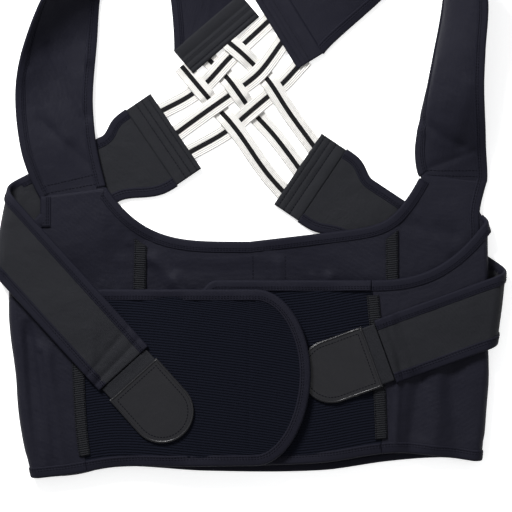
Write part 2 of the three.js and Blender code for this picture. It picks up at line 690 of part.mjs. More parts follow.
// Materials
const matte = (color, roughness = 0.85) => new THREE.MeshStandardMaterial({ color, roughness, metalness: 0 });
const foamFabric = matte(0x1b1b21, 0.75);
const loopFabric = matte(0x101013, 0.95);
const edgeFabric = matte(0x18181c, 0.8);
const ribbedTape = matte(0x2b2e2d, 0.85);
const elastic = matte(0xe8e6e1, 0.8);
const leather = matte(0x1d1d20, 0.45);

const group = new THREE.Group();
function add(name, geometry, material) {
  const mesh = new THREE.Mesh(geometry, material);
  mesh.name = name;
  group.add(mesh);
}

// Columns of the back panel are closer together at the corners of the neckline.
const backColumns = (() => {
  const { left, right } = halves;
  const span = left.sideSeam + right.sideSeam;
  const at = (across) => (across + left.sideSeam) / span;
  return stretches(
    [0, at(-left.cornerAt), 3], [at(-left.cornerAt), at(-0.36), 5], [at(-0.36), at(0.5), 9],
    [at(0.5), at(0.66), 3], [at(0.66), at(right.cornerAt), 4], [at(right.cornerAt), 1, 3],
  );
})();
const neckColumns = backColumns.slice(3, -3);
const backRows = stretches(
  [0, rowInset, 1], [rowInset, 0.88, 5], [0.88, 1 - rowInset, 1], [1 - rowInset, 1, 1],
);
const sideColumns = even(20);
const flapRows = even(10);
const flapColumns = even(12);

add('back_panel', sheet(backColumns, backRows, bodyWall, backPanelPoint, backFacing), foamFabric);
add('neckline_binding', binding(backPanelPoint, neckColumns.map((u) => [u, 1]), backFacing), edgeFabric);
add('back_bottom_binding', binding(backPanelPoint, backColumns.map((u) => [u, 0]), backFacing), edgeFabric);

for (const [side, half] of Object.entries(halves)) {
  const sidePanel = (u, v) => sidePoint(half, u, v);
  add(`${side}_side_panel`, sheet(sideColumns, backRows, bodyWall, sidePanel), foamFabric);
  const backPart = (1 - half.sideSeam) * halfWidth;
  const armColumns = sideColumns.filter((u) => u >= backShare || backPart > bindingWidth);
  add(`${side}_arm_binding`, binding(sidePanel, armColumns.map((u) => [u, 1])), edgeFabric);
  add(`${side}_side_binding`, binding(sidePanel, sideColumns.map((u) => [u, 0])), edgeFabric);

  const flap = (u, w) => flapPoint(half, flapEnds[side], u, w);
  const flapFacing = (at) => facing((x, y) => flapZ(half, x, y), at);
  add(`${side}_front_flap`, sheet(flapColumns, flapRows, bodyWall, flap, flapFacing), loopFabric);
  const flapEdge = [
    ...flapColumns.map((u) => [u, 1]),
    ...flapRows.slice(1, -1).reverse().map((w) => [1, w]),
    ...[...flapColumns].reverse().map((u) => [u, 0]),
  ];
  add(`${side}_flap_binding`, binding(flap, flapEdge, flapFacing), edgeFabric);

  const backChannel = raised((u, v) => backChannelPoint(half, u, v), channelWall, 2 * seat);
  add(`${side}_back_channel`, sheet(even(9), even(1), channelWall, backChannel), ribbedTape);
  const frontChannel = raised((u, v) => frontChannelPoint(half, u, v), channelWall, seat);
  add(`${side}_front_channel`, sheet(even(9), even(2), channelWall, frontChannel), ribbedTape);

  const shoulder = (u, v) => shoulderPoint(side, u, v);
  add(`${side}_shoulder_strap`, sheet(even(28), even(4), strapWall, shoulder), foamFabric);
  const pull = (u, v) => pullSheetPoint(side, u, v);
  add(`${side}_pull_strap`, sheet(pullSteps, even(3), strapWall, pull), foamFabric);
  add(`${side}_tab_link`, sheet(even(2), even(4), tabWall, (u, v) => linkPoint(side, u, v)), foamFabric);
  add(`${side}_tab`, sheet(even(6), even(10), tabWall, (u, w) => tabPoint(side, u, w)), leather);
}

for (const [name, frame] of Object.entries(cuffFrames)) {
  const out = vec(frame.outward.x, frame.outward.y, 0);
  const frames = even(4).map((v) => ({ at: frame.at(v, cuffLength), out, normal: vec(0, 0, 1) }));
  const slot = { width: cuffLength, inside: tapeWall + seat, wall: cuffWall, room: clearance };
  add(`${name}_cuff`, folded(frames, slot), foamFabric);
}

for (const name of Object.keys(tapes)) {
  const knots = tapeKnots(name);
  add(`tape_${name}`, sheet(even(28), even(1), tapeWall, (u, v) => tapePoint(name, knots, u, v)), elastic);
}

export default group;
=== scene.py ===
import math

import bpy
import numpy as np
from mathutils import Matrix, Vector, noise


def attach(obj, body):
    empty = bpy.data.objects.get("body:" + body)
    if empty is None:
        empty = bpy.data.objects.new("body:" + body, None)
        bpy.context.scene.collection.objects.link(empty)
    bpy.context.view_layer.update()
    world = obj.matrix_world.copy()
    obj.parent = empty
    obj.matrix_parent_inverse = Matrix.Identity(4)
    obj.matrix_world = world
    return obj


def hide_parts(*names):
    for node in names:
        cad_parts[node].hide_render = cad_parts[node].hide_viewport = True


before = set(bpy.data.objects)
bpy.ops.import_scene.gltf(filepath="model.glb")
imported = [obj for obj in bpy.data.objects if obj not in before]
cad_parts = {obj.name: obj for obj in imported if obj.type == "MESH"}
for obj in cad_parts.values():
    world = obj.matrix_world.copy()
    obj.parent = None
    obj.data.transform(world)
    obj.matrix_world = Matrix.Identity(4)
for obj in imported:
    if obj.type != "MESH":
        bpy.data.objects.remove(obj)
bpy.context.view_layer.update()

# Camera straight above the garment. Millimetres are used everywhere else and turned to metres in mesh_of.
MM = 0.001
DISTANCE = 2.4
PLANE = 0.015
VIEW_WIDTH = 0.4506
VIEW_CENTRE = (0.0053, 0.0915)
SENSOR = 36
cam_data = bpy.data.cameras.new("camera")
cam_data.lens = SENSOR * DISTANCE / VIEW_WIDTH
cam = bpy.data.objects.new("camera", cam_data)
bpy.context.scene.collection.objects.link(cam)
cam.location = (*VIEW_CENTRE, PLANE + DISTANCE)
bpy.context.scene.camera = cam

# Creases: from (u, v) to (u, v), reach and depth in millimetres
SHOULDER_CREASES = {
    -1: [(0.31, 0.35, 0.17, 0.92, 5, 1.6),
         (0.25, 0.15, 0.13, 0.62, 6, -1.3),
         (0.17, 0.3, 0.08, 0.85, 4, 1.0),
         (0.40, 0.4, 0.30, 0.95, 5, -1.1)],
    1: [(0.17, 0.9, 0.12, 0.35, 5, -1.7),
        (0.30, 0.72, 0.16, 0.88, 5, 1.5),
        (0.11, 0.1, 0.07, 0.8, 3, -0.9),
        (0.26, 0.2, 0.13, 0.45, 6, 1.0)],
}
SIDE_CREASES = {
    -1: [(0.60, 0.72, 0.64, 0.05, 4, -1.4),
         (0.74, 0.62, 0.77, 0.05, 4, 1.0),
         (0.68, 0.60, 0.70, 0.05, 3, -1.2)],
    1: [(0.90, 0.55, 0.93, 0.05, 3, 1.6),
        (0.70, 0.55, 0.72, 0.05, 6, 1.2),
        (0.80, 0.60, 0.78, 0.10, 4, -1.0)],
}
BACK_CREASES = [(0.20, 0.90, 0.34, 0.80, 4, 1.0),
                (0.30, 0.85, 0.36, 0.76, 3, -0.9),
                (0.62, 0.83, 0.64, 0.72, 3, 0.9),
                (0.83, 0.93, 0.94, 0.80, 6, -1.2),
                (0.86, 0.86, 0.93, 0.74, 4, 1.0),
                (0.15, 0.86, 0.17, 0.70, 5, -0.9)]

# Driving sizes
HALF = 212.0
BACK = 200.0
BODY_WALL = 2.6
STRAP_WALL = 2.4
STRAP_WIDTH = 58.0
PULL_WIDTH = 56.0
FLARE_WIDTH = 76.0
FLARE_LENGTH = 45.0
SETTLE = 50.0
CUFF_LENGTH = 24.0
CUFF_WALL = 1.4
TAPE_WIDTH = 15.0
TAPE_WALL = 1.2
TAB_LENGTH = 66.0
TAB_WIDTH = 56.0
TAB_WALL = 2.0
LINK_LENGTH = 12.0
LINK_WIDTH = 52.5
BINDING_WIDTH = 8.5
BINDING_WALL = 0.7
BINDING_GAP = 0.6
CHANNEL_WIDTH = 11.0
CHANNEL_WALL = 1.0
CHANNEL_MARGIN = 8.0
CHANNEL_INSET = 0.08
HOLLOW = 9.5
FOLD_DEPTH = 4.2
CLEARANCE = 0.3
LIFT_MARGIN = 10.0
LIFT_RAMP = 48.0
CURL = 2.2
EDGE_BAND = 1.8

# Where the layers lie, worked out from the sizes above
EDGE_ROOM = BINDING_WALL + BINDING_GAP
CUFF_THICK = 2 * CUFF_WALL + TAPE_WALL + 2 * CLEARANCE
CROSS = CUFF_THICK / 2
BACK_LEVEL = BODY_WALL / 2
FRONT_LEVEL = BACK_LEVEL + BODY_WALL + HOLLOW
SEAT = 2 * CLEARANCE
FLAP_STEP = BODY_WALL + SEAT + TAB_WALL + CLEARANCE + EDGE_ROOM
PULL_LEVEL = FRONT_LEVEL + BODY_WALL / 2 + EDGE_ROOM + SEAT + STRAP_WALL / 2 + EDGE_ROOM
STRAP_LIFT = CROSS + STRAP_WALL / 2 + EDGE_ROOM + 2 * CLEARANCE
FOLD_ROOM = (FRONT_LEVEL - BACK_LEVEL + BODY_WALL) / 2

# Shares of BACK: the neckline's lowest point, the top edge's drop round a side fold, the tapes' crossing
NECK_DIP = 0.515
TURN_DROP = 0.05
CROSS_CENTRE = 1.15

# Shares of a side panel's length at which its back run ends and its front run starts
BACK_SHARE = 0.2
FRONT_SHARE = 0.5

# Shares of HALF: the left flap's rise, the fading of folds at the sides, how far out straps follow folds
LAP_START = 0.60
LAP_RAMP = 0.32
BACK_FADE = 0.9
BACK_FADE_WIDTH = 0.1
FRONT_FADE = 0.96
FRONT_FADE_WIDTH = 0.04
PLAIN_SIDE = 0.94

# Shares of a strap's length: easing of the pull strap's lean, the shoulder strap's foot and its cuff end
LEAN_IN = 0.4
LEAN_OUT = 0.33
FOOT_SHARE = 0.12
CUFF_SHARE = 0.87
CUFF_BLEND = 0.13

# Step of u over which a shoulder strap's heading is measured
NEAR = 0.02

# Rows and columns of the cloths' grids
BACK_GRID = (240, 100)
SIDE_GRID = (120, 90)
FLAP_GRID = (120, 110)
CHANNEL_GRID = (90, 12)
SHOULDER_GRID = (210, 36)
PULL_GRID = (230, 32)
LINK_GRID = (16, 40)
TAB_GRID = (40, 60)
CUFF_STEPS = 60
TAPE_STEPS = 160
TAPE_COLUMNS = 23

# Height of each cloth's unevenness
BACK_RIPPLE = 0.675
SOFT_RIPPLE = 0.9
FLAP_RIPPLE = 0.225
PULL_RIPPLE = 0.825
LINK_RIPPLE = 0.3
TAPE_RIPPLE = 0.75

# Bindings and sewing: swell past the wall, rows from a binding's inner side, pitch and length of a stitch
BODY_SWELL = 0.9
STRAP_SWELL = 0.55
STRAP_BINDING = 8.0
BINDING_ROWS = (1.9, 3.7)
BINDING_PITCH = 2.7
BINDING_STITCH = 1.9
BINDING_THREAD = 0.02
CHANNEL_PITCH = 2.6
THREAD_LIFT = 0.1

# Back panel's upright seams, and the grid rows at which bindings and foot seams start
CORNER_ROWS = {"u0": 88, "u1": 74}
SEAM_PLACES = (2.6, 31.0)
SEAM_LOW = -80
SEAM_HIGH = 92
SEAM_STEPS = 120
ARM_ROWS = {-1: 0, 1: 24}
SHOULDER_ROWS = {"v0": 4, "v1": 7}
FOOT_SEAMS = (9, 13)
FOOT_MARGIN = 4

# Channels, straps, tabs and cuffs
CHANNEL_DOME = 0.45
FOOT_TUCK = 1.5
PULL_CREASES = [(7, 1.0), (19, 0.7)]
CREASE_SLANT = 3
CREASE_REACH = 2.6
LINK_TUCK = 3
LINK_DIP = 0.5
RIM_INSET = 1.2
RIM_SINK = 0.15
RIM_RADIUS = 0.9
TAB_SEAM = 5.0
TAB_PITCH = 2.8
TAB_STITCH = 2.1
TAB_THREAD = 0.08
CUFF_CORNER = 0.7
CUFF_MOUTH = 0.6
CUFF_ROUND = 2.4
CUFF_THREAD = 0.05
GROOVES = (4, 10, 16)
GROOVE_REACH = 0.6
GROOVE_DEPTH = 0.3
UPPER_SEAMS = (5, 13)

# Side folds: height and x, as shares of BACK and HALF
SIDE_FOLD = {
    -1: [(-0.52, 0.912), (-0.30, 0.955), (0.0, 0.984), (0.30, 1.013), (0.52, 1.004)],
    1: [(-0.45, 0.966), (-0.19, 0.988), (0.04, 1.004), (0.56, 1.002), (0.66, 1.002), (0.80, 1.035)],
}
# Lower edges: across, back layer, front layer
LOWER = [(-1, -0.515, -0.515),
         (-0.83, -0.504, -0.497),
         (-0.62, -0.466, -0.465),
         (-0.20, -0.486, -0.461),
         (0.31, -0.484, -0.448),
         (0.62, -0.443, -0.405),
         (0.85, -0.427, -0.420),
         (1, -0.440, -0.440)]
# What differs between the halves
HALVES = {
    -1: dict(sign=-1, slope=0, corner=0.62, rise=0.24, power=4, foot=0.72, seam=0.895, arm_dip=0.645,
             fold_top=0.500, root_low=0.765, root_high=0.745, front_top=0.305, sweep=0.62, sweep_power=3,
             channel=0.47, flap_start=0.025, flap_bulge=0.230),
    1: dict(sign=1, slope=0.12, corner=0.715, rise=0.215, power=11, foot=0.79, seam=0.985, arm_dip=0.660,
            fold_top=0.610, root_low=0.585, root_high=0.520, front_top=0.345, sweep=0.5, sweep_power=2.8,
            channel=0.61, flap_start=-0.14, flap_bulge=-0.13),
}
# Soft folds: layer, from, to, reach, depth
FOLDS = [
    ("front", -0.95, 0.10, -0.93, -0.45, 0.045, -1),
    ("front", -0.86, 0.05, -0.84, -0.45, 0.030, 0.4),
    ("front", 0.70, -0.10, 0.66, -0.42, 0.035, -0.8),
    ("front", 0.84, -0.05, 0.86, -0.42, 0.050, -0.7),
    ("back", -0.31, 0.36, -0.24, 0.20, 0.028, 0.7),
    ("back", 0.33, 0.36, 0.32, 0.15, 0.026, 0.6),
    ("front", -0.006, 0.24, -0.004, -0.40, 0.008, -0.12),
    ("back", -0.40, 0.44, -0.33, 0.34, 0.030, 0.4),
    ("back", 0.12, 0.42, 0.13, 0.30, 0.022, 0.3),
]
# Pull straps: sewn end, roll round the side and free end
PULLS = {
    -1: dict(cuff="lower_left", start=(-0.395, 0.945), roll=(-1.030, 0.600), end=(-0.517, -0.002)),
    1: dict(cuff="lower_right", start=(0.277, 0.785), roll=(1.044, 0.245), end=(0.5625, 0.060)),
}
# Shoulder straps: x, y, lowest point, width, outer tilt, inner tilt
SHOULDERS = {
    -1: [(-0.742, 0.744, 0.11, 0.98, 0, 0),
         (-0.795, 0.93, 0.11, 1.10, 2, 4),
         (-0.815, 1.18, 0.10, 1.14, 14, 3),
         (-0.775, 1.42, 0.07, 1.12, 62, 8),
         (-0.705, 1.66, 0.05, 1.06, 100, 30),
         (-0.595, 1.86, 0.05, 1.02, 98, 62),
         (-0.455, 1.90, 0.05, 1.00, 92, 66),
         (-0.320, 1.84, 0.05, 0.98, 58, 34),
         (-0.230, 1.72, 0.045, 0.90, 16, 10),
         (-0.190, 1.61, 0.04, 0.84, 0, 0)],
    1: [(0.843, 0.81, 0.05, 1.14, 0, 0),
        (0.835, 0.93, 0.05, 1.05, 0, 20),
        (0.848, 1.14, 0.05, 1.02, 4, 78),
        (0.872, 1.36, 0.05, 1.00, 10, 112),
        (0.892, 1.58, 0.05, 1.00, 28, 108),
        (0.870, 1.78, 0.05, 1.00, 58, 100),
        (0.765, 1.92, 0.05, 1.00, 76, 86),
        (0.615, 1.86, 0.05, 1.00, 62, 50),
        (0.455, 1.70, 0.045, 1.02, 16, 12),
        (0.235, 1.56, 0.04, 1.14, 0, 0)],
}
# Tapes: points from cuff to cuff, and the tapes that each one goes over
TAPES = {
    "rise_1": ([(-0.357, 1.106), (-0.262, 1.160), (-0.178, 1.228), (-0.075, 1.346), (0.055, 1.475)],
               ["fall_2"]),
    "rise_2": ([(-0.300, 1.006), (-0.183, 1.096), (-0.091, 1.165), (0.034, 1.264), (0.126, 1.392)],
               ["fall_1", "fall_3"]),
    "rise_3": ([(-0.242, 0.922), (-0.105, 1.005), (0.018, 1.112), (0.127, 1.212), (0.205, 1.300)],
               ["fall_2"]),
    "fall_1": ([(-0.262, 1.268), (-0.174, 1.157), (-0.060, 1.020), (0.062, 0.836), (0.145, 0.735)],
               ["rise_1", "rise_3"]),
    "fall_2": ([(-0.190, 1.345), (-0.095, 1.245), (0.000, 1.110), (0.105, 0.985), (0.205, 0.845)],
               ["rise_2"]),
    "fall_3": ([(-0.115, 1.425), (-0.020, 1.340), (0.075, 1.235), (0.165, 1.090), (0.265, 0.945)],
               ["rise_1", "rise_3"]),
}
# Cuffs: the mouth's two ends, and the way outwards where it isn't square to the mouth
CUFFS = {
    "upper_left": ((-0.305, 1.236), (-0.029, 1.487), (-0.05, 1)),
    "upper_right": ((0.199, 1.285), (0.012, 1.606), None),
    "lower_left": ((-0.415, 1.175), (-0.203, 0.845), None),
    "lower_right": ((0.299, 0.999), (0.100, 0.686), None),
}


def mix(a, b, t):
    return a + (b - a) * t


def clamp01(t):
    return min(1.0, max(0.0, t))


def smooth(t):
    t = clamp01(t)
    return t * t * (3 - 2 * t)


def look(rows, column, at):
    """Smooth value of a column of a table at a value of its first column."""
    i = 0
    while i < len(rows) - 2 and at > rows[i + 1][0]:
        i += 1

    def slope(j):
        a, b = rows[max(0, j - 1)], rows[min(len(rows) - 1, j + 1)]
        return (b[column] - a[column]) / (b[0] - a[0])

    span = rows[i + 1][0] - rows[i][0]
    t = clamp01((at - rows[i][0]) / span)
    keep = 2 * t ** 3 - 3 * t ** 2 + 1
    return (keep * rows[i][column] + (1 - keep) * rows[i + 1][column]
            + (t ** 3 - 2 * t ** 2 + t) * span * slope(i) + (t ** 3 - t ** 2) * span * slope(i + 1))


def side_of(across):
    return -1 if across < 0 else 1


def bottom_at(across, layer):
    return BACK * look(LOWER, 1 if layer == "back" else 2, across)


def back_top(across):
    half = HALVES[side_of(across)]
    t = abs(across)
    corner = NECK_DIP + half["slope"] * half["corner"] + half["rise"]
    if t < half["corner"]:
        return BACK * (NECK_DIP + half["slope"] * t + half["rise"] * (t / half["corner"]) ** half["power"])
    if t <= half["seam"]:
        return BACK * mix(corner, half["foot"], (t - half["corner"]) / (half["seam"] - half["corner"]))
    s = (t - half["seam"]) / (1 - half["seam"])
    return BACK * mix(half["arm_dip"], half["fold_top"] + TURN_DROP / 2, s)


def front_top(across):
    half = HALVES[side_of(across)]
    s = clamp01((abs(across) - half["sweep"]) / (1 - half["sweep"]))
    return BACK * mix(half["front_top"], half["fold_top"] - TURN_DROP / 2, s ** half["sweep_power"])


def fold_height(layer, x, y):
    total = 0.0
    for name, x1, y1, x2, y2, reach, depth in FOLDS:
        if name != layer:
            continue
        ax, ay, dx, dy = x1 * HALF, y1 * BACK, (x2 - x1) * HALF, (y2 - y1) * BACK
        t = clamp01(((x - ax) * dx + (y - ay) * dy) / (dx * dx + dy * dy))
        off = math.hypot(x - ax - t * dx, y - ay - t * dy) / (reach * HALF)
        total += depth * FOLD_DEPTH * math.exp(-off * off)
    return total


def pull_frame(pull):
    start, turn, end = (np.array(pull[k]) * (HALF, BACK) for k in ("start", "roll", "end"))
    out, back = turn - start, end - turn
    length = np.linalg.norm(out) + np.linalg.norm(back)
    out, back = out / np.linalg.norm(out), back / np.linalg.norm(back)
    axis = (out + back) / np.linalg.norm(out + back)
    away = np.array((-axis[1], axis[0]))
    if away @ out < 0:
        away = -away
    radius = (PULL_LEVEL - CROSS) / 2
    return dict(start=start, turn=turn, out=out, axis=axis, away=away, radius=radius,
                length=length + (math.pi - 2) * radius / (out @ away))


PULL_FRAMES = {side: pull_frame(pull) for side, pull in PULLS.items()}


def lift_at(x, y):
    lift = 0.0
    for f in PULL_FRAMES.values():
        rx, ry = x - f["start"][0], y - f["start"][1]
        off = abs(rx * f["out"][1] - ry * f["out"][0])
        along = rx * f["out"][0] + ry * f["out"][1]
        beside = 1 - smooth((off - PULL_WIDTH / 2 - LIFT_MARGIN) / LIFT_RAMP)
        lift = max(lift, beside * smooth((along + 2 * LIFT_RAMP) / LIFT_RAMP))
    return lift * STRAP_LIFT


def back_z(across, x, y):
    low = 1 - smooth((y - bottom_at(across, "back")) / BINDING_WIDTH - EDGE_BAND)
    high = smooth((y - NECK_DIP * BACK + 3 * BINDING_WIDTH) / (1.5 * BINDING_WIDTH))
    inside = 1 - smooth((abs(across) - BACK_FADE) / BACK_FADE_WIDTH)
    return BACK_LEVEL + max(EDGE_ROOM * max(low, high), lift_at(x, y)) + inside * fold_height("back", x, y)


def fold_outer(side, y):
    return HALF * look(SIDE_FOLD[side], 1, y / BACK)


def layer_x(across, y):
    return across * (fold_outer(side_of(across), y) - FOLD_ROOM)


def back_point(across, y):
    x = layer_x(across, y)
    return x, y, back_z(across, x, y)


def front_point(across, y, lift=0.0):
    x = layer_x(across, y)
    inside = 1 - smooth((abs(across) - FRONT_FADE) / FRONT_FADE_WIDTH)
    return x, y, FRONT_LEVEL + lift + inside * fold_height("front", x, y)


def root_at(half, v):
    return mix(half["root_low"], half["root_high"], v)


def side_point(half, u, v):
    sign, gap = half["sign"], CLEARANCE / HALF
    if u <= BACK_SHARE:
        across = mix(half["seam"] + 2 * gap, 1, u / BACK_SHARE) * sign
        return back_point(across, mix(bottom_at(across, "back"), back_top(across), v))
    if u >= FRONT_SHARE:
        across = mix(1, root_at(half, v) + gap, (u - FRONT_SHARE) / (1 - FRONT_SHARE)) * sign
        return front_point(across, mix(bottom_at(across, "front"), front_top(across), v))
    turned = (u - BACK_SHARE) / (FRONT_SHARE - BACK_SHARE)
    y = mix(bottom_at(sign, "back"), mix(back_top(sign), front_top(sign), turned), v)
    x, y, z = back_point(sign, y)
    radius = (FRONT_LEVEL - z) / 2
    return x + sign * radius * math.sin(math.pi * turned), y, z + radius * (1 - math.cos(math.pi * turned))


def back_panel_point(u, v):
    across = mix(-HALVES[-1]["seam"], HALVES[1]["seam"], u)
    return back_point(across, mix(bottom_at(across, "back"), back_top(across), v))


def flap_rise(half, across):
    return 0.0 if half["sign"] > 0 else FLAP_STEP * smooth((across + LAP_START) / LAP_RAMP)


def flap_point(half, u, w):
    v = (1 - math.cos(math.pi * w)) / 2
    tip = half["flap_start"] + half["flap_bulge"] * math.sin(math.pi * w)
    across = mix(half["sign"] * root_at(half, v), tip, u)
    high = BACK * half["front_top"] if half["sign"] * across < 0 else front_top(across)
    return front_point(across, mix(bottom_at(across, "front"), high, v), flap_rise(half, across))


def on_front(half, x, y, wall):
    sign = half["sign"]
    low = bottom_at(sign * half["root_high"], "front")
    v = clamp01((y - low) / (BACK * half["front_top"] - low))
    off = abs(x - sign * root_at(half, v) * (HALF - CHANNEL_MARGIN)) - CHANNEL_WIDTH / 2 - CHANNEL_MARGIN
    over = (CHANNEL_WALL + SEAT) * (1 - smooth(off / CHANNEL_MARGIN))
    across = x / (fold_outer(sign, y) - FOLD_ROOM)
    ground = FRONT_LEVEL
    if abs(x) < HALF * PLAIN_SIDE:
        ground += flap_rise(half, across) + fold_height("front", x, y)
    return ground + over + BODY_WALL / 2 + SEAT + wall / 2


def pull_point(side, s, w):
    f = PULL_FRAMES[side]
    across = np.array((-f["out"][1], f["out"][0]))
    rel = f["start"] + f["out"] * s + across * w - f["turn"]
    along, beyond = rel @ f["axis"], rel @ f["away"] + f["radius"]
    arc = math.pi * f["radius"]
    angle = clamp01(beyond / arc) * math.pi
    reach = f["radius"] * math.sin(angle) + min(beyond, 0) - max(beyond - arc, 0)
    x, y = f["turn"] + f["axis"] * along + f["away"] * (reach - f["radius"])
    z = CROSS + f["radius"] * (1 - math.cos(angle))
    if beyond > arc:
        low = on_front(HALVES[side], x, y, STRAP_WALL) + CLEARANCE
        z = max(low, mix(z, low, smooth((s - f["length"] + 1.2 * SETTLE) / SETTLE)))
    return np.array((x, y, z))


def cuff_frame(a, b, sides):
    first, last = np.array(a) * (HALF, BACK), np.array(b) * (HALF, BACK)
    along = (last - first) / np.linalg.norm(last - first)
    outward = np.array((-along[1], along[0]))
    if sides:
        outward = np.array(sides) / np.linalg.norm(sides)
    if outward @ (first - (0, CROSS_CENTRE * BACK)) < 0:
        outward = -outward
    return first, last, outward


CUFF_FRAMES = {name: cuff_frame(*cuff) for name, cuff in CUFFS.items()}
CUFF_BACK = CUFF_LENGTH + CUFF_WALL + 2 * CLEARANCE


def cuff_at(name, v, out):
    first, last, outward = CUFF_FRAMES[name]
    return np.append(mix(first, last, v) + outward * out, CROSS)


def pull_sheet_point(side, u, v):
    f = PULL_FRAMES[side]
    straight = u * (f["length"] - CLEARANCE)
    w = side * (v - 0.5) * mix(FLARE_WIDTH, PULL_WIDTH, smooth(straight / FLARE_LENGTH))
    lean = (f["axis"] @ f["out"]) / (f["axis"] @ np.array((-f["out"][1], f["out"][0])))
    s = straight + lean * w * smooth(u / LEAN_IN) * smooth((1 - u) / LEAN_OUT)
    sewn = cuff_at(PULLS[side]["cuff"], 1 - v, CUFF_BACK + straight)
    return mix(sewn, pull_point(side, s, w), smooth(straight / FLARE_LENGTH))


SECTIONS = {}
STEPS = 32


def shoulder_section(side, u):
    if (side, u) in SECTIONS:
        return SECTIONS[side, u]
    last = len(SHOULDERS[side]) - 1
    rows = [(i / last, *row) for i, row in enumerate(SHOULDERS[side])]
    x, y, z, width, outer, inner = (look(rows, k, u) for k in range(1, 7))
    heading = np.array(((look(rows, 1, u + NEAR) - look(rows, 1, u - NEAR)) * HALF,
                        (look(rows, 2, u + NEAR) - look(rows, 2, u - NEAR)) * BACK))
    heading /= np.linalg.norm(heading)
    inward = np.array((heading[1], -heading[0])) * -side
    v = (np.arange(STEPS) + 0.5) / STEPS
    ease = 1 - (1 - v) ** CURL if side < 0 else v ** CURL
    tilt = np.radians(mix(outer, inner, ease))
    piece = width * STRAP_WIDTH / STEPS
    run = np.concatenate(([0], np.cumsum(piece * np.cos(tilt))))
    rise = np.concatenate(([0], -np.cumsum(piece * np.sin(tilt))))
    run, rise = run - (run.min() + run.max()) / 2, rise - rise.min()
    SECTIONS[side, u] = (x * HALF, y * BACK, z * STRAP_WIDTH, inward, run, rise)
    return SECTIONS[side, u]


def shoulder_point(side, u, v):
    x, y, z, inward, runs, rises = shoulder_section(side, u)
    run, rise = (np.interp(v * STEPS, np.arange(STEPS + 1), a) for a in (runs, rises))
    half = HALVES[side]
    across = side * mix(half["seam"], half["corner"], v)
    foot = np.array(back_point(across, back_top(across)))
    foot[1] -= FOOT_TUCK
    free = np.array((x + inward[0] * run, y + inward[1] * run, z + rise))
    sewn = cuff_at("upper_left" if side < 0 else "upper_right", 1 - v, CUFF_BACK)
    return mix(mix(foot, free, smooth(u / FOOT_SHARE)), sewn, smooth((u - CUFF_SHARE) / CUFF_BLEND))


def tab_frame(side):
    length = PULL_FRAMES[side]["length"]
    start = pull_point(side, length, 0)
    heading = (start - pull_point(side, length - 5, 0))[:2]
    heading /= np.linalg.norm(heading)
    return start, heading, np.array((-heading[1], heading[0]))


def along_strap(side, reach, across, wall):
    start, heading, cross = tab_frame(side)
    x, y = start[:2] + heading * reach + cross * across
    return np.array((x, y, on_front(HALVES[side], x, y, wall)))


def tab_point(side, u, w):
    reach = TAB_LENGTH - TAB_WIDTH / 2 + TAB_WIDTH / 2 * math.sin(math.pi * w)
    return along_strap(side, LINK_LENGTH + u * reach, -math.cos(math.pi * w) * TAB_WIDTH / 2, TAB_WALL)


# Procedural materials. Texture coordinates are in metres, so a pitch is a real size.
# WAVE_BAND is the scale at which a wave texture's bands are one unit apart.
WAVE_BAND = 0.314
RIB_HEIGHT = 0.35
WRINKLE_SIZE = 22
WRINKLE_HEIGHT = 2.2
YARN_HEIGHT = 0.25
BLOTCH_SIZE = 1.6


def material(name, color, roughness, ribs=(), grain=0.0, grain_size=0.8, wrinkle=0.25, sheen=0.0,
             spread=0.25, specular=0.06):
    """ribs is a list of (direction, pitch in mm, strength); grain is a fine unevenness of the yarn."""
    mat = bpy.data.materials.new(name)
    mat.use_nodes = True
    nodes, links = mat.node_tree.nodes, mat.node_tree.links
    bsdf = nodes["Principled BSDF"]
    bsdf.inputs["Roughness"].default_value = roughness
    bsdf.inputs["Sheen Weight"].default_value = sheen
    bsdf.inputs["Sheen Roughness"].default_value = 0.5
    bsdf.inputs["Specular IOR Level"].default_value = specular
    coord = nodes.new("ShaderNodeTexCoord")

    def bump(height, strength, distance, before):
        node = nodes.new("ShaderNodeBump")
        node.inputs["Strength"].default_value = strength
        node.inputs["Distance"].default_value = distance * MM
        links.new(height, node.inputs["Height"])
        if before:
            links.new(before, node.inputs["Normal"])
        return node.outputs["Normal"]

    def cloud(size, detail):
        node = nodes.new("ShaderNodeTexNoise")
        node.inputs["Scale"].default_value = 1 / (size * MM)
        node.inputs["Detail"].default_value = detail
        links.new(coord.outputs["UV"], node.inputs["Vector"])
        return node.outputs["Fac"]

    normal = bump(cloud(WRINKLE_SIZE, 3), wrinkle, WRINKLE_HEIGHT, None) if wrinkle else None
    for direction, pitch, strength in ribs:
        wave = nodes.new("ShaderNodeTexWave")
        wave.bands_direction = direction
        wave.inputs["Scale"].default_value = WAVE_BAND / (pitch * MM)
        wave.inputs["Distortion"].default_value = 0.6
        wave.inputs["Detail"].default_value = 1
        wave.inputs["Detail Scale"].default_value = 2
        links.new(coord.outputs["UV"], wave.inputs["Vector"])
        normal = bump(wave.outputs["Fac"], strength, RIB_HEIGHT * pitch, normal)
    if grain:
        normal = bump(cloud(grain_size, 2), grain, YARN_HEIGHT, normal)
    links.new(normal, bsdf.inputs["Normal"])
    ramp = nodes.new("ShaderNodeMix")
    ramp.data_type = "RGBA"
    ramp.inputs["A"].default_value = (*[c * (1 - spread) for c in color], 1)
    ramp.inputs["B"].default_value = (*[c * (1 + spread) for c in color], 1)
    links.new(cloud(BLOTCH_SIZE, 3), ramp.inputs["Factor"])
    links.new(ramp.outputs["Result"], bsdf.inputs["Base Color"])
    return mat


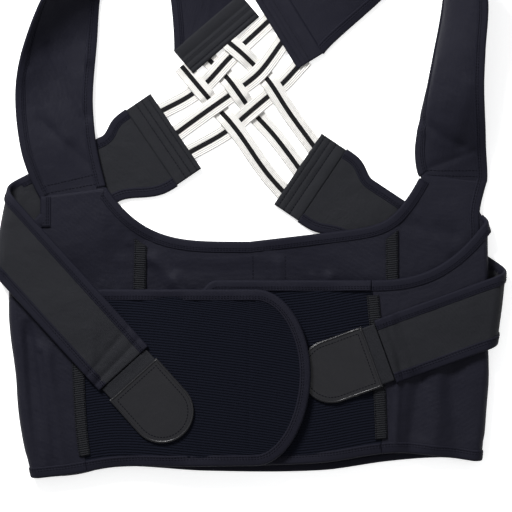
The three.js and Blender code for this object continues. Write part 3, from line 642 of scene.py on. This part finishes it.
KNIT = [("X", 0.9, 0.35), ("Y", 1.1, 0.30)]
FOAM = material("foam_knit", (0.0072, 0.0072, 0.0124), 0.56, KNIT, grain=0.5, wrinkle=0.65, specular=0.07)
PULL_FOAM = material("strap_knit", (0.0118, 0.0122, 0.0146), 0.60, KNIT, grain=0.5, wrinkle=0.7)
LOOP = material("loop_pile", (0.0034, 0.0040, 0.0078), 0.90, [("Y", 2.4, 0.8)], grain=1.0, grain_size=0.6,
                wrinkle=0.3, sheen=0.02, specular=0.04)
EDGE = material("bound_edge", (0.0070, 0.0070, 0.0120), 0.66, [("X", 1.0, 0.35)], grain=0.6, grain_size=0.6,
                wrinkle=0.3)
RIBBED = material("ribbed_tape", (0.0096, 0.0100, 0.0118), 0.75, [("X", 1.9, 1.0)], grain=0.6,
                  grain_size=0.5, wrinkle=0.0)
WHITE = material("elastic_white", (0.66, 0.645, 0.62), 0.78, [("Y", 1.6, 1.0), ("X", 1.2, 0.5)], grain=0.4,
                 grain_size=0.4, wrinkle=0.9, spread=0.06)
STRIPE = material("elastic_black", (0.008, 0.008, 0.009), 0.75, [("Y", 1.4, 0.8)], grain=0.4,
                  grain_size=0.4, wrinkle=0.0)
LEATHER = material("coated_leather", (0.0074, 0.0074, 0.0092), 0.30, grain=0.22, grain_size=0.9,
                   wrinkle=0.45, spread=0.12, specular=0.34)
THREAD = material("thread", (0.0024, 0.0024, 0.0052), 0.60, [("X", 0.5, 0.6)], grain=0.3, grain_size=0.3,
                  wrinkle=0.0)


def mesh_of(name, verts, faces, uv, mats, indices=None, flat_faces=0):
    mesh = bpy.data.meshes.new(name)
    mesh.from_pydata((verts * MM).tolist(), [], faces.tolist() if hasattr(faces, "tolist") else faces)
    layer = mesh.uv_layers.new(name="metres")
    loops = np.zeros(len(mesh.loops), np.int32)
    mesh.loops.foreach_get("vertex_index", loops)
    layer.data.foreach_set("uv", (uv[loops] * MM).astype(np.float32).ravel())
    for mat in mats:
        mesh.materials.append(mat)
    smooth_faces = len(mesh.polygons) - flat_faces
    mesh.polygons.foreach_set("use_smooth", [True] * smooth_faces + [False] * flat_faces)
    if indices is not None:
        mesh.polygons.foreach_set("material_index", indices)
    mesh.update()
    obj = bpy.data.objects.new(name, mesh)
    bpy.context.scene.collection.objects.link(obj)
    return obj


def unit(a):
    return a / np.maximum(np.linalg.norm(a, axis=-1, keepdims=True), 1e-9)


def grid_of(point, size):
    nu, nv = size
    return np.array([[point(u, v) for v in np.linspace(0, 1, nv)] for u in np.linspace(0, 1, nu)], float)


def normals_of(grid):
    du, dv = np.gradient(grid, axis=0), np.gradient(grid, axis=1)
    return unit(np.cross(du, dv))


def lengths_of(grid, axis):
    steps = np.linalg.norm(np.diff(grid, axis=axis), axis=-1)
    start = np.zeros_like(np.take(steps, [0], axis))
    return np.concatenate((start, np.cumsum(steps, axis=axis)), axis=axis)


RIPPLE_SIZE = 34
EDGE_EASE = 6


def ripple(grid, normals, amount):
    """Slight unevenness of soft cloth, in millimetres, less at its edges."""
    moved = grid.copy()
    nu, nv = grid.shape[:2]
    for i in range(nu):
        for j in range(nv):
            edge = min(1, EDGE_EASE * min(i, nu - 1 - i) / nu, EDGE_EASE * min(j, nv - 1 - j) / nv)
            moved[i, j] += normals[i, j] * amount * edge * noise.noise(Vector(grid[i, j]) / RIPPLE_SIZE)
    return moved


def crease(grid, lines):
    """Soft creases pressed into a grid, each from one (u, v) to another, with its reach and depth."""
    shape = np.array(grid.shape[:2]) - 1
    up = normals_of(grid)
    moved = grid.copy()
    for u1, v1, u2, v2, reach, depth in lines:
        a, b = (grid[tuple(np.round(np.array(at) * shape).astype(int))] for at in ((u1, v1), (u2, v2)))
        t = np.clip(((grid - a) @ (b - a)) / ((b - a) @ (b - a)), 0, 1)[..., None]
        off = np.linalg.norm(grid - a - t * (b - a), axis=-1, keepdims=True) / reach
        moved += up * depth * np.exp(-off * off)
    return moved


def cloth(name, grid, wall, mats, ripples=0.0, column_material=None, creases=()):
    """A closed sheet with its wall about the grid. Gives the object, its grid and the grid's normals."""
    if creases:
        grid = crease(grid, creases)
    normals = normals_of(grid)
    if ripples:
        grid = ripple(grid, normals, ripples)
        normals = normals_of(grid)
    nu, nv = grid.shape[:2]
    verts = np.concatenate([(grid + normals * wall / 2).reshape(-1, 3),
                            (grid - normals * wall / 2).reshape(-1, 3)])
    flat = np.stack([lengths_of(grid, 0), lengths_of(grid, 1)], axis=-1).reshape(-1, 2)
    index = np.arange(nu * nv).reshape(nu, nv)
    a, b, c, d = (s.ravel() for s in (index[:-1, :-1], index[1:, :-1], index[1:, 1:], index[:-1, 1:]))
    top = np.stack([a, b, c, d], 1)
    low = np.stack([d, c, b, a], 1) + nu * nv
    rim = np.concatenate([index[:, 0], index[-1, 1:], index[-2::-1, -1], index[0, -2:0:-1]])
    after = np.roll(rim, -1)
    edge = np.stack([rim, rim + nu * nv, after + nu * nv, after], 1)
    faces = np.concatenate([top, low, edge])
    indices = None
    if column_material is not None:
        column = np.tile(np.arange(nv - 1), nu - 1)
        chosen = column_material(column, nv - 1).astype(int)
        indices = np.concatenate([chosen, chosen, np.zeros(len(edge), int)]).tolist()
    obj = mesh_of(name, verts, faces, np.concatenate([flat, flat]), mats, indices, len(edge))
    return obj, grid, normals


def edge_path(grid, normals, edge, back=3):
    """Points, outward directions and normals along one edge of a grid: v0, v1, u0 or u1."""
    pick = {"v0": (np.s_[:, 0], np.s_[:, back]), "v1": (np.s_[:, -1], np.s_[:, -1 - back]),
            "u0": (np.s_[0], np.s_[back]), "u1": (np.s_[-1], np.s_[-1 - back])}[edge]
    return grid[pick[0]], grid[pick[0]] - grid[pick[1]], normals[pick[0]]


def swept(name, path, section, mats, closed=False):
    """Section of (out, normal) pairs, swept along a path of points, outward directions and normals."""
    points, out, normal = path
    tangent = unit(np.gradient(points, axis=0))
    if closed:
        tangent = unit(np.roll(points, -1, 0) - np.roll(points, 1, 0))
    square = unit(np.cross(tangent, normal))
    square *= np.sign(np.sum(square * out, axis=1, keepdims=True))
    facing = np.cross(square, tangent)
    normal = unit(facing * np.sign(np.sum(facing * normal, 1, keepdims=True)))
    section = np.array(section, float)
    count, n = len(section), len(points)
    verts = (points[:, None] + square[:, None] * section[None, :, :1]
             + normal[:, None] * section[None, :, 1:])
    around = np.concatenate(([0], np.cumsum(np.linalg.norm(np.diff(section, axis=0), axis=1))))
    along = np.concatenate(([0], np.cumsum(np.linalg.norm(np.diff(points, axis=0), axis=1))))
    uv = np.stack(np.meshgrid(along, around, indexing="ij"), -1).reshape(-1, 2)
    index = np.arange(n * count).reshape(n, count)
    if closed:
        index = np.vstack([index, index[:1]])
    right = np.roll(index, -1, axis=1)
    quads = (index[:-1], index[1:], right[1:], right[:-1])
    faces = np.stack([corner.ravel() for corner in quads], 1).tolist()
    if not closed:
        faces += [index[0].tolist(), index[-1][::-1].tolist()]
    obj = mesh_of(name, verts.reshape(-1, 3), faces, uv, mats, None, 0 if closed else 2)
    turn_out(obj)
    return obj, (points, square, normal)


def turn_out(obj):
    """Faces turned outwards if the closed mesh is inside out."""
    mesh = obj.data
    mesh.calc_loop_triangles()
    co = np.zeros(len(mesh.vertices) * 3)
    mesh.vertices.foreach_get("co", co)
    co = co.reshape(-1, 3)
    tri = np.zeros(len(mesh.loop_triangles) * 3, np.int32)
    mesh.loop_triangles.foreach_get("vertices", tri)
    a, b, c = (co[tri[k::3]] for k in range(3))
    if np.sum(a * np.cross(b, c)) < 0:
        mesh.flip_normals()


# A binding's flat side: distance from its inner edge, and height
BINDING_PROFILE = [(0, -0.75), (0.15, -0.35), (0.6, -0.08), (1.3, 0), (1.9, -0.22), (2.5, 0), (4.5, 0.05)]


def binding_section(half, width):
    """Tape folded over an edge: round outer side, a groove under the stitches near the inner side."""
    turns = np.linspace(math.pi / 2, -math.pi / 2, 11)
    arc = [(EDGE_ROOM - half + half * math.cos(t), half * math.sin(t)) for t in turns]
    top = [(out - width, half + height) for out, height in BINDING_PROFILE]
    return top + arc + [(o, -n) for o, n in reversed(top)]


def tube_section(radius, sides=10):
    return [(radius * math.cos(t), radius * math.sin(t)) for t in np.arange(sides) * 2 * math.pi / sides]


def resample(points, pitch):
    along = np.concatenate(([0], np.cumsum(np.linalg.norm(np.diff(points, axis=0), axis=1))))
    count = max(2, int(along[-1] / pitch))
    at = (np.arange(count) + 0.5) * along[-1] / count
    return at, along


STITCHES = {}
SIDES = 4
RINGS = 4
CORNERS = SIDES * RINGS


def stitch(group, points, normals, pitch=3.0, length=2.1, radius=0.34):
    """Adds a row of stitches along a path that lies on a surface to the named piece."""
    at, along = resample(points, pitch)
    centre = np.stack([np.interp(at, along, points[:, k]) for k in range(3)], 1)
    normal = unit(np.stack([np.interp(at, along, normals[:, k]) for k in range(3)], 1))
    ahead = np.stack([np.interp(at + 0.5, along, points[:, k]) for k in range(3)], 1)
    behind = np.stack([np.interp(at - 0.5, along, points[:, k]) for k in range(3)], 1)
    direction = unit(ahead - behind)
    side = unit(np.cross(normal, direction))
    rings = [(-0.5, 0.35, -0.5), (-0.34, 1, 0), (0.34, 1, 0), (0.5, 0.35, -0.5)]
    angles = np.arange(SIDES) * math.pi / 2
    local = np.array([(o * length, r * radius * math.cos(a), r * radius * math.sin(a) + s * radius)
                      for o, r, s in rings for a in angles])
    verts = (centre[:, None] + direction[:, None] * local[None, :, :1] + side[:, None] * local[None, :, 1:2]
             + normal[:, None] * local[None, :, 2:3])
    STITCHES.setdefault(group, []).append((verts.reshape(-1, 3), local))


def make_stitches(group):
    parts = STITCHES.pop(group)
    verts = np.concatenate([part[0] for part in parts])
    uv = np.concatenate([np.tile(part[1][:, :2], (len(part[0]) // len(part[1]), 1)) for part in parts])
    count = len(verts) // CORNERS
    index = np.arange(CORNERS).reshape(RINGS, SIDES)
    turned = np.roll(index, -1, axis=1)
    one = [[index[r, k], turned[r, k], turned[r + 1, k], index[r + 1, k]]
           for r in range(RINGS - 1) for k in range(SIDES)] + [index[0][::-1], index[-1]]
    faces = [[i * CORNERS + int(v) for v in face] for i in range(count) for face in one]
    obj = mesh_of(f"{group}_stitches", verts, faces, uv, [THREAD])
    ride(obj, "edge_binding")
    return obj


def ride(obj, slot, *nodes):
    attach(obj, "root")
    if nodes:
        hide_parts(*nodes)


def declare(grid, with_pieces=()):
    """Works out the cloth's greatest flat width and length; neither is kept or stated."""
    length = lengths_of(grid, 0)[-1].max() * MM
    width = lengths_of(grid, 1)[:, -1].max() * MM


def stitch_binding(group, path, half, width, shown):
    """Two rows of stitches on the binding's shown face and one on the other; 0 shows both faces."""
    points, square, normal = path
    for face in (1, -1):
        for inset in BINDING_ROWS if shown in (0, face) else BINDING_ROWS[:1]:
            at = points + square * (inset - width) + normal * face * (half + BINDING_THREAD)
            stitch(group, at, normal * face, BINDING_PITCH, BINDING_STITCH)


def bind(name, grid, normals, edges, half, width, group, start=0, shown=0):
    """Bindings along the named edges of a grid from a row on."""
    made = []
    for edge in edges:
        path = [a[start:] for a in edge_path(grid, normals, edge)]
        obj, frames = swept(f"{name}_{edge}", path, binding_section(half, width), [EDGE])
        made.append(obj)
        stitch_binding(group, frames, half, width, shown)
    return made


BODY_HALF = BODY_WALL / 2 + BODY_SWELL
STRAP_HALF = STRAP_WALL / 2 + STRAP_SWELL
UP = (0.0, 0, 1)

# Back panel
back, back_grid, back_normals = cloth("back_panel_cloth", grid_of(back_panel_point, BACK_GRID), BODY_WALL,
                                      [FOAM], BACK_RIPPLE, creases=BACK_CREASES)
ride(back, "foam_fabric", "back_panel")
span = HALVES[-1]["seam"] + HALVES[1]["seam"]
last_row = BACK_GRID[0] - 1
neck_from = int(last_row * (HALVES[-1]["seam"] - HALVES[-1]["corner"]) / span)
neck_to = int(last_row * (HALVES[-1]["seam"] + HALVES[1]["corner"]) / span) + 1
neck_path = [a[neck_from:neck_to] for a in edge_path(back_grid, back_normals, "v1")]
neck, frames = swept("neckline_tape", neck_path, binding_section(BODY_HALF, BINDING_WIDTH), [EDGE])
ride(neck, "edge_binding", "neckline_binding")
stitch_binding("back", frames, BODY_HALF, BINDING_WIDTH, 1)
(hem,) = bind("back_hem_tape", back_grid, back_normals, ["v0"], BODY_HALF, BINDING_WIDTH, "back", 0, 1)
ride(hem, "edge_binding", "back_bottom_binding")
corners = []
for edge, row in CORNER_ROWS.items():
    corners += bind("back_corner_tape", back_grid, back_normals, [edge], BODY_HALF, STRAP_BINDING, "back",
                    row, 1)
for corner in corners:
    ride(corner, "edge_binding")
for x in SEAM_PLACES:
    heights = np.linspace(SEAM_LOW, SEAM_HIGH, SEAM_STEPS)
    row = np.array([back_point(x / (HALF - FOLD_ROOM), y) for y in heights])
    row[:, 2] += BODY_WALL / 2 + THREAD_LIFT
    stitch("back", row, np.tile(UP, (SEAM_STEPS, 1)))
back_rows = make_stitches("back")
declare(back_grid, (neck, hem, *corners, back_rows))

for side, half in HALVES.items():
    name = "left" if side < 0 else "right"

    # Side panel with its armhole and bottom bindings
    creases = [(*row[:5], -side * row[5]) for row in SIDE_CREASES[side]]
    grid = grid_of(lambda u, v: side_point(half, u, v), SIDE_GRID)
    panel, grid, normals = cloth(f"{name}_side_cloth", grid, BODY_WALL, [FOAM], SOFT_RIPPLE, creases=creases)
    ride(panel, "foam_fabric", f"{name}_side_panel")
    trims = []
    for edge, node in (("v1", "arm"), ("v0", "side")):
        path = [a[ARM_ROWS[side]:] for a in edge_path(grid, normals, edge)]
        tape, frames = swept(f"{name}_{node}_tape", path, binding_section(BODY_HALF, BINDING_WIDTH), [EDGE])
        ride(tape, "edge_binding", f"{name}_{node}_binding")
        trims.append(tape)
        stitch_binding(f"{name}_side", frames, BODY_HALF, BINDING_WIDTH, -side)
    trims.append(make_stitches(f"{name}_side"))
    declare(grid, trims)

    # Front flap with its binding round the free edges
    grid = grid_of(lambda u, w: flap_point(half, u, w), FLAP_GRID)
    flap, grid, normals = cloth(f"{name}_flap_cloth", grid, BODY_WALL, [LOOP], FLAP_RIPPLE)
    ride(flap, "loop_fabric", f"{name}_front_flap")
    parts = [edge_path(grid, normals, edge) for edge in ("v1", "u1", "v0")]
    order = [slice(None), slice(None, None, -1), slice(None, None, -1)]
    edge_points, edge_out, edge_normals = (
        np.concatenate([part[k][o][(1 if i else 0):] for i, (part, o) in enumerate(zip(parts, order))])
        for k in range(3))
    keep = np.concatenate(([True], np.linalg.norm(np.diff(edge_points, axis=0), axis=1) > 0.6))
    path = (edge_points[keep], edge_out[keep], edge_normals[keep])
    tape, frames = swept(f"{name}_flap_tape", path, binding_section(BODY_HALF, BINDING_WIDTH), [EDGE])
    ride(tape, "edge_binding", f"{name}_flap_binding")
    stitch_binding(f"{name}_flap", frames, BODY_HALF, BINDING_WIDTH, -side)
    rows = make_stitches(f"{name}_flap")
    declare(grid, [tape, rows])

    # Channels with a stitch row at each side
    def back_channel_point(u, v):
        across = side * half["channel"] + (v - 0.5) * CHANNEL_WIDTH / HALF
        room = EDGE_BAND * BINDING_WIDTH
        x, y, z = back_point(across, mix(bottom_at(across, "back") + room, back_top(across) - room, u))
        return x, y, z + BODY_WALL / 2 + 2 * SEAT + CHANNEL_WALL / 2

    def front_channel_point(u, v):
        share = mix(CHANNEL_INSET, 1 - CHANNEL_INSET, u)
        across = side * root_at(half, share) + (v - 0.5) * CHANNEL_WIDTH / HALF
        x, y, z = front_point(across, mix(bottom_at(across, "front"), front_top(across), share))
        return x, y, z + BODY_WALL / 2 + SEAT + CHANNEL_WALL / 2

    for part, point in (("back", back_channel_point), ("front", front_channel_point)):
        def domed(u, v, point=point):
            x, y, z = point(u, v)
            return x, y, z + CHANNEL_DOME * (1 - (2 * v - 1) ** 2) - CHANNEL_DOME

        grid = grid_of(domed, CHANNEL_GRID)
        tape, grid, _ = cloth(f"{name}_{part}_channel_tape", grid, CHANNEL_WALL, [RIBBED])
        ride(tape, "ribbed_tape", f"{name}_{part}_channel")
        up = np.tile(UP, (CHANNEL_GRID[0], 1))
        group = f"{name}_{part}_channel"
        for j in (1, -2):
            row = grid[:, j] + (0, 0, CHANNEL_WALL / 2 + THREAD_LIFT)
            stitch(group, row, up, CHANNEL_PITCH, BINDING_STITCH)
        declare(grid, [make_stitches(group)])

    # Shoulder strap, bound at both edges, with a double seam at its foot
    grid = grid_of(lambda u, v: shoulder_point(side, u, v), SHOULDER_GRID)
    strap, grid, normals = cloth(f"{name}_shoulder_cloth", grid, STRAP_WALL, [FOAM], SOFT_RIPPLE,
                                 creases=SHOULDER_CREASES[side])
    ride(strap, "foam_fabric", f"{name}_shoulder_strap")
    group = f"{name}_shoulder"
    edges = [bind(f"{group}_tape", grid, normals, [edge], STRAP_HALF, STRAP_BINDING, group, row)[0]
             for edge, row in SHOULDER_ROWS.items()]
    for edge in edges:
        ride(edge, "edge_binding")
    for i in FOOT_SEAMS:
        for face in (1, -1):
            up = normals[i, FOOT_MARGIN:-FOOT_MARGIN] * face
            stitch(group, grid[i, FOOT_MARGIN:-FOOT_MARGIN] + up * (STRAP_WALL / 2 + THREAD_LIFT), up)
    declare(grid, [*edges, make_stitches(group)])

    # Pull strap: two soft creases before the tab
    def creased(u, v):
        point = np.array(pull_sheet_point(side, u, v))
        left = (1 - u) * PULL_FRAMES[side]["length"]
        for at, depth in PULL_CREASES:
            point[2] -= depth * math.exp(-((left - at - CREASE_SLANT * v) / CREASE_REACH) ** 2)
        return point

    grid = grid_of(creased, PULL_GRID)
    strap, grid, normals = cloth(f"{name}_pull_cloth", grid, STRAP_WALL, [PULL_FOAM], PULL_RIPPLE)
    ride(strap, "foam_fabric", f"{name}_pull_strap")
    group = f"{name}_pull"
    edges = bind(f"{group}_tape", grid, normals, ["v0", "v1"], STRAP_HALF, STRAP_BINDING, group)
    for edge in edges:
        ride(edge, "edge_binding")
    declare(grid, [*edges, make_stitches(group)])

    # Link and leather tab
    def link_point(u, v):
        reach = mix(CLEARANCE, LINK_LENGTH + LINK_TUCK, u)
        point = along_strap(side, reach, (v - 0.5) * LINK_WIDTH, STRAP_WALL)
        dip = LINK_DIP * (smooth(3 * u - 2) + math.sin(math.pi * u))
        point[2] -= (STRAP_WALL - TAB_WALL) / 2 + dip
        return point

    link, grid, _ = cloth(f"{name}_link_cloth", grid_of(link_point, LINK_GRID), TAB_WALL - CLEARANCE,
                          [PULL_FOAM], LINK_RIPPLE)
    ride(link, "foam_fabric", f"{name}_tab_link")
    declare(grid)
    tab, _, _ = cloth(f"{name}_tab_leather", grid_of(lambda u, w: tab_point(side, u, w), TAB_GRID),
                      TAB_WALL, [LEATHER])
    ride(tab, "tab_leather", f"{name}_tab")

    def outline(inset, raise_by):
        wide, straight = TAB_WIDTH / 2 - inset, TAB_LENGTH - TAB_WIDTH / 2
        flat = [(mix(inset, straight, t), -wide) for t in np.linspace(0, 1, 16)[:-1]]
        flat += [(straight + wide * math.sin(a), -wide * math.cos(a)) for a in np.linspace(0, math.pi, 50)]
        flat += [(mix(straight, inset, t), wide) for t in np.linspace(0, 1, 16)[1:]]
        flat += [(inset, mix(wide, -wide, t)) for t in np.linspace(0, 1, 24)[1:-1]]
        line = np.array([along_strap(side, LINK_LENGTH + out, across, TAB_WALL) for out, across in flat])
        line[:, 2] += raise_by
        return line

    line = outline(RIM_INSET, TAB_WALL / 2 - RIM_SINK)
    path = (line, line - line.mean(0), np.tile(UP, (len(line), 1)))
    rim, _ = swept(f"{name}_tab_rim", path, tube_section(RIM_RADIUS), [LEATHER], True)
    ride(rim, "tab_leather")
    line = outline(TAB_SEAM, TAB_WALL / 2 + TAB_THREAD)
    line = np.vstack([line, line[:1]])
    stitch(f"{name}_tab", line, np.tile(UP, (len(line), 1)), TAB_PITCH, TAB_STITCH)
    make_stitches(f"{name}_tab")

# Cuffs: folded ends that hold the tapes, with stitch rows across
for name, (_, _, outward) in CUFF_FRAMES.items():
    points = np.array([cuff_at(name, v, CUFF_LENGTH) for v in np.linspace(0, 1, CUFF_STEPS)])
    half_thick = CUFF_THICK / 2
    section = [(-CUFF_LENGTH, half_thick - CUFF_CORNER), (-CUFF_LENGTH + CUFF_CORNER, half_thick)]
    for groove in GROOVES:
        for reach, depth in ((-GROOVE_REACH, 0), (0, GROOVE_DEPTH), (GROOVE_REACH, 0)):
            section.append((-CUFF_LENGTH + groove + reach, half_thick - depth))
    section += [(CUFF_MOUTH + CUFF_ROUND * math.cos(t), half_thick * math.sin(t))
                for t in np.linspace(math.pi / 2, 0, 7)]
    section += [(o, -n) for o, n in reversed(section[:-1])]
    path = (points, np.tile(np.append(outward, 0), (CUFF_STEPS, 1)), np.tile(UP, (CUFF_STEPS, 1)))
    knit = FOAM if name == "upper_right" else PULL_FOAM
    cuff, (points, square, normal) = swept(f"{name}_cuff_cloth", path, section, [knit])
    ride(cuff, "foam_fabric", f"{name}_cuff")
    for out in GROOVES if name.startswith("lower") else UPPER_SEAMS:
        for face in (1, -1):
            at = points + square * (out - CUFF_LENGTH) + normal * face * (half_thick - CUFF_THREAD)
            stitch(name, at, normal * face)
    make_stitches(name)

# Elastic tapes: woven over and under, white with a black stripe
CROSSING_LIFT = (TAPE_WALL + SEAT) / 2 + 0.05 * TAPE_WALL
CROSSING_FLAT = 0.53
STRIPE_SHARE = 0.15
TUCK = CUFF_LENGTH / 3
CURVE_STEPS = 60


def tape_line(points):
    """A smooth line through the points, with a tuck into the cuff at each end, and its length."""
    pts = [np.array(p) * (HALF, BACK) for p in points]
    first = pts[0] + unit(pts[0] - pts[1]) * TUCK
    last = pts[-1] + unit(pts[-1] - pts[-2]) * TUCK
    pts = [2 * first - pts[0], first, *pts, last, 2 * last - pts[-1]]
    fine = []
    for i in range(1, len(pts) - 2):
        p0, p1, p2, p3 = pts[i - 1:i + 3]
        for t in np.linspace(0, 1, CURVE_STEPS, endpoint=False):
            fine.append(0.5 * (2 * p1 + (p2 - p0) * t + (2 * p0 - 5 * p1 + 4 * p2 - p3) * t * t
                               + (3 * p1 - p0 - 3 * p2 + p3) * t ** 3))
    fine = np.array([*fine, pts[-2]])
    along = np.concatenate(([0], np.cumsum(np.linalg.norm(np.diff(fine, axis=0), axis=1))))
    at = np.linspace(0, along[-1], TAPE_STEPS)
    return np.stack([np.interp(at, along, fine[:, k]) for k in (0, 1)], 1), along[-1]


LINES = {name: tape_line(tape[0]) for name, tape in TAPES.items()}
for name, (_, over) in TAPES.items():
    line, length = LINES[name]
    mouth = (TUCK + CUFF_WALL) / length
    knots = [(mouth, 0)]
    for other, (other_line, _) in LINES.items():
        if other[:4] != name[:4]:
            gaps = np.linalg.norm(line[:, None] - other_line[None], axis=2).min(axis=1)
            knots.append((gaps.argmin() / (len(line) - 1), 1 if other in over else -1))
    knots = sorted(knots) + [(1 - mouth, 0)]

    def height(s):
        if s <= knots[0][0] or s >= knots[-1][0]:
            return 0.0
        i = next(k for k, knot in enumerate(knots) if knot[0] > s) - 1
        (a, level_a), (b, level_b) = knots[i], knots[i + 1]
        flat = CROSSING_FLAT * TAPE_WIDTH / length
        start, end = a + (flat if level_a else 0), b - (flat if level_b else 0)
        return CROSSING_LIFT * mix(level_a, level_b, smooth((s - start) / max(end - start, flat / 4)))

    tangent = unit(np.gradient(line, axis=0))
    across = np.stack([-tangent[:, 1], tangent[:, 0]], 1)
    offs = np.linspace(-0.5, 0.5, TAPE_COLUMNS) * TAPE_WIDTH
    z = np.array([height(s) for s in np.linspace(0, 1, len(line))]) + CROSS
    xy = line[:, None] + across[:, None] * offs[None, :, None]
    grid = np.concatenate([xy, np.broadcast_to(z[:, None, None], (*xy.shape[:2], 1))], axis=2)
    tape, grid, _ = cloth(f"tape_{name}_elastic", grid, TAPE_WALL, [WHITE, STRIPE], TAPE_RIPPLE,
                          lambda column, count: abs(column - (count - 1) / 2) < STRIPE_SHARE * count)
    ride(tape, "elastic_tape", f"tape_{name}")
    declare(grid)

# Floor, background and lights
FLOOR_REACH = 4
FLOOR_DROP = 0.0003
mesh = bpy.data.meshes.new("floor")
corners = [(x * FLOOR_REACH, y * FLOOR_REACH, 0) for x, y in ((-1, -1), (1, -1), (1, 1), (-1, 1))]
mesh.from_pydata(corners, [], [(0, 1, 2, 3)])
floor = bpy.data.objects.new("floor", mesh)
bpy.context.scene.collection.objects.link(floor)
paper = bpy.data.materials.new("paper")
paper.use_nodes = True
shader = paper.node_tree.nodes["Principled BSDF"]
shader.inputs["Base Color"].default_value = (0.93, 0.93, 0.93, 1)
shader.inputs["Roughness"].default_value = 0.9
shader.inputs["Emission Color"].default_value = (1, 1, 1, 1)
shader.inputs["Emission Strength"].default_value = 0.55
mesh.materials.append(paper)
floor.location.z = -FLOOR_DROP

world = bpy.data.worlds.new("studio")
world.use_nodes = True
background = world.node_tree.nodes["Background"]
background.inputs["Color"].default_value = (0.98, 0.99, 1, 1)
background.inputs["Strength"].default_value = 0.44
bpy.context.scene.world = world
for name, place, size, energy in (("key", (-0.7, 1.3, 1.1), 0.45, 58), ("fill", (1.2, -0.3, 1.6), 1.4, 6)):
    data = bpy.data.lights.new(name, "AREA")
    data.size, data.energy = size, energy
    light = bpy.data.objects.new(name, data)
    light.location = place
    light.rotation_mode = "QUATERNION"
    light.rotation_quaternion = (Vector(place) - Vector((0, 0.1, 0))).to_track_quat("Z", "Y")
    bpy.context.scene.collection.objects.link(light)
bpy.context.scene.view_settings.view_transform = "Standard"
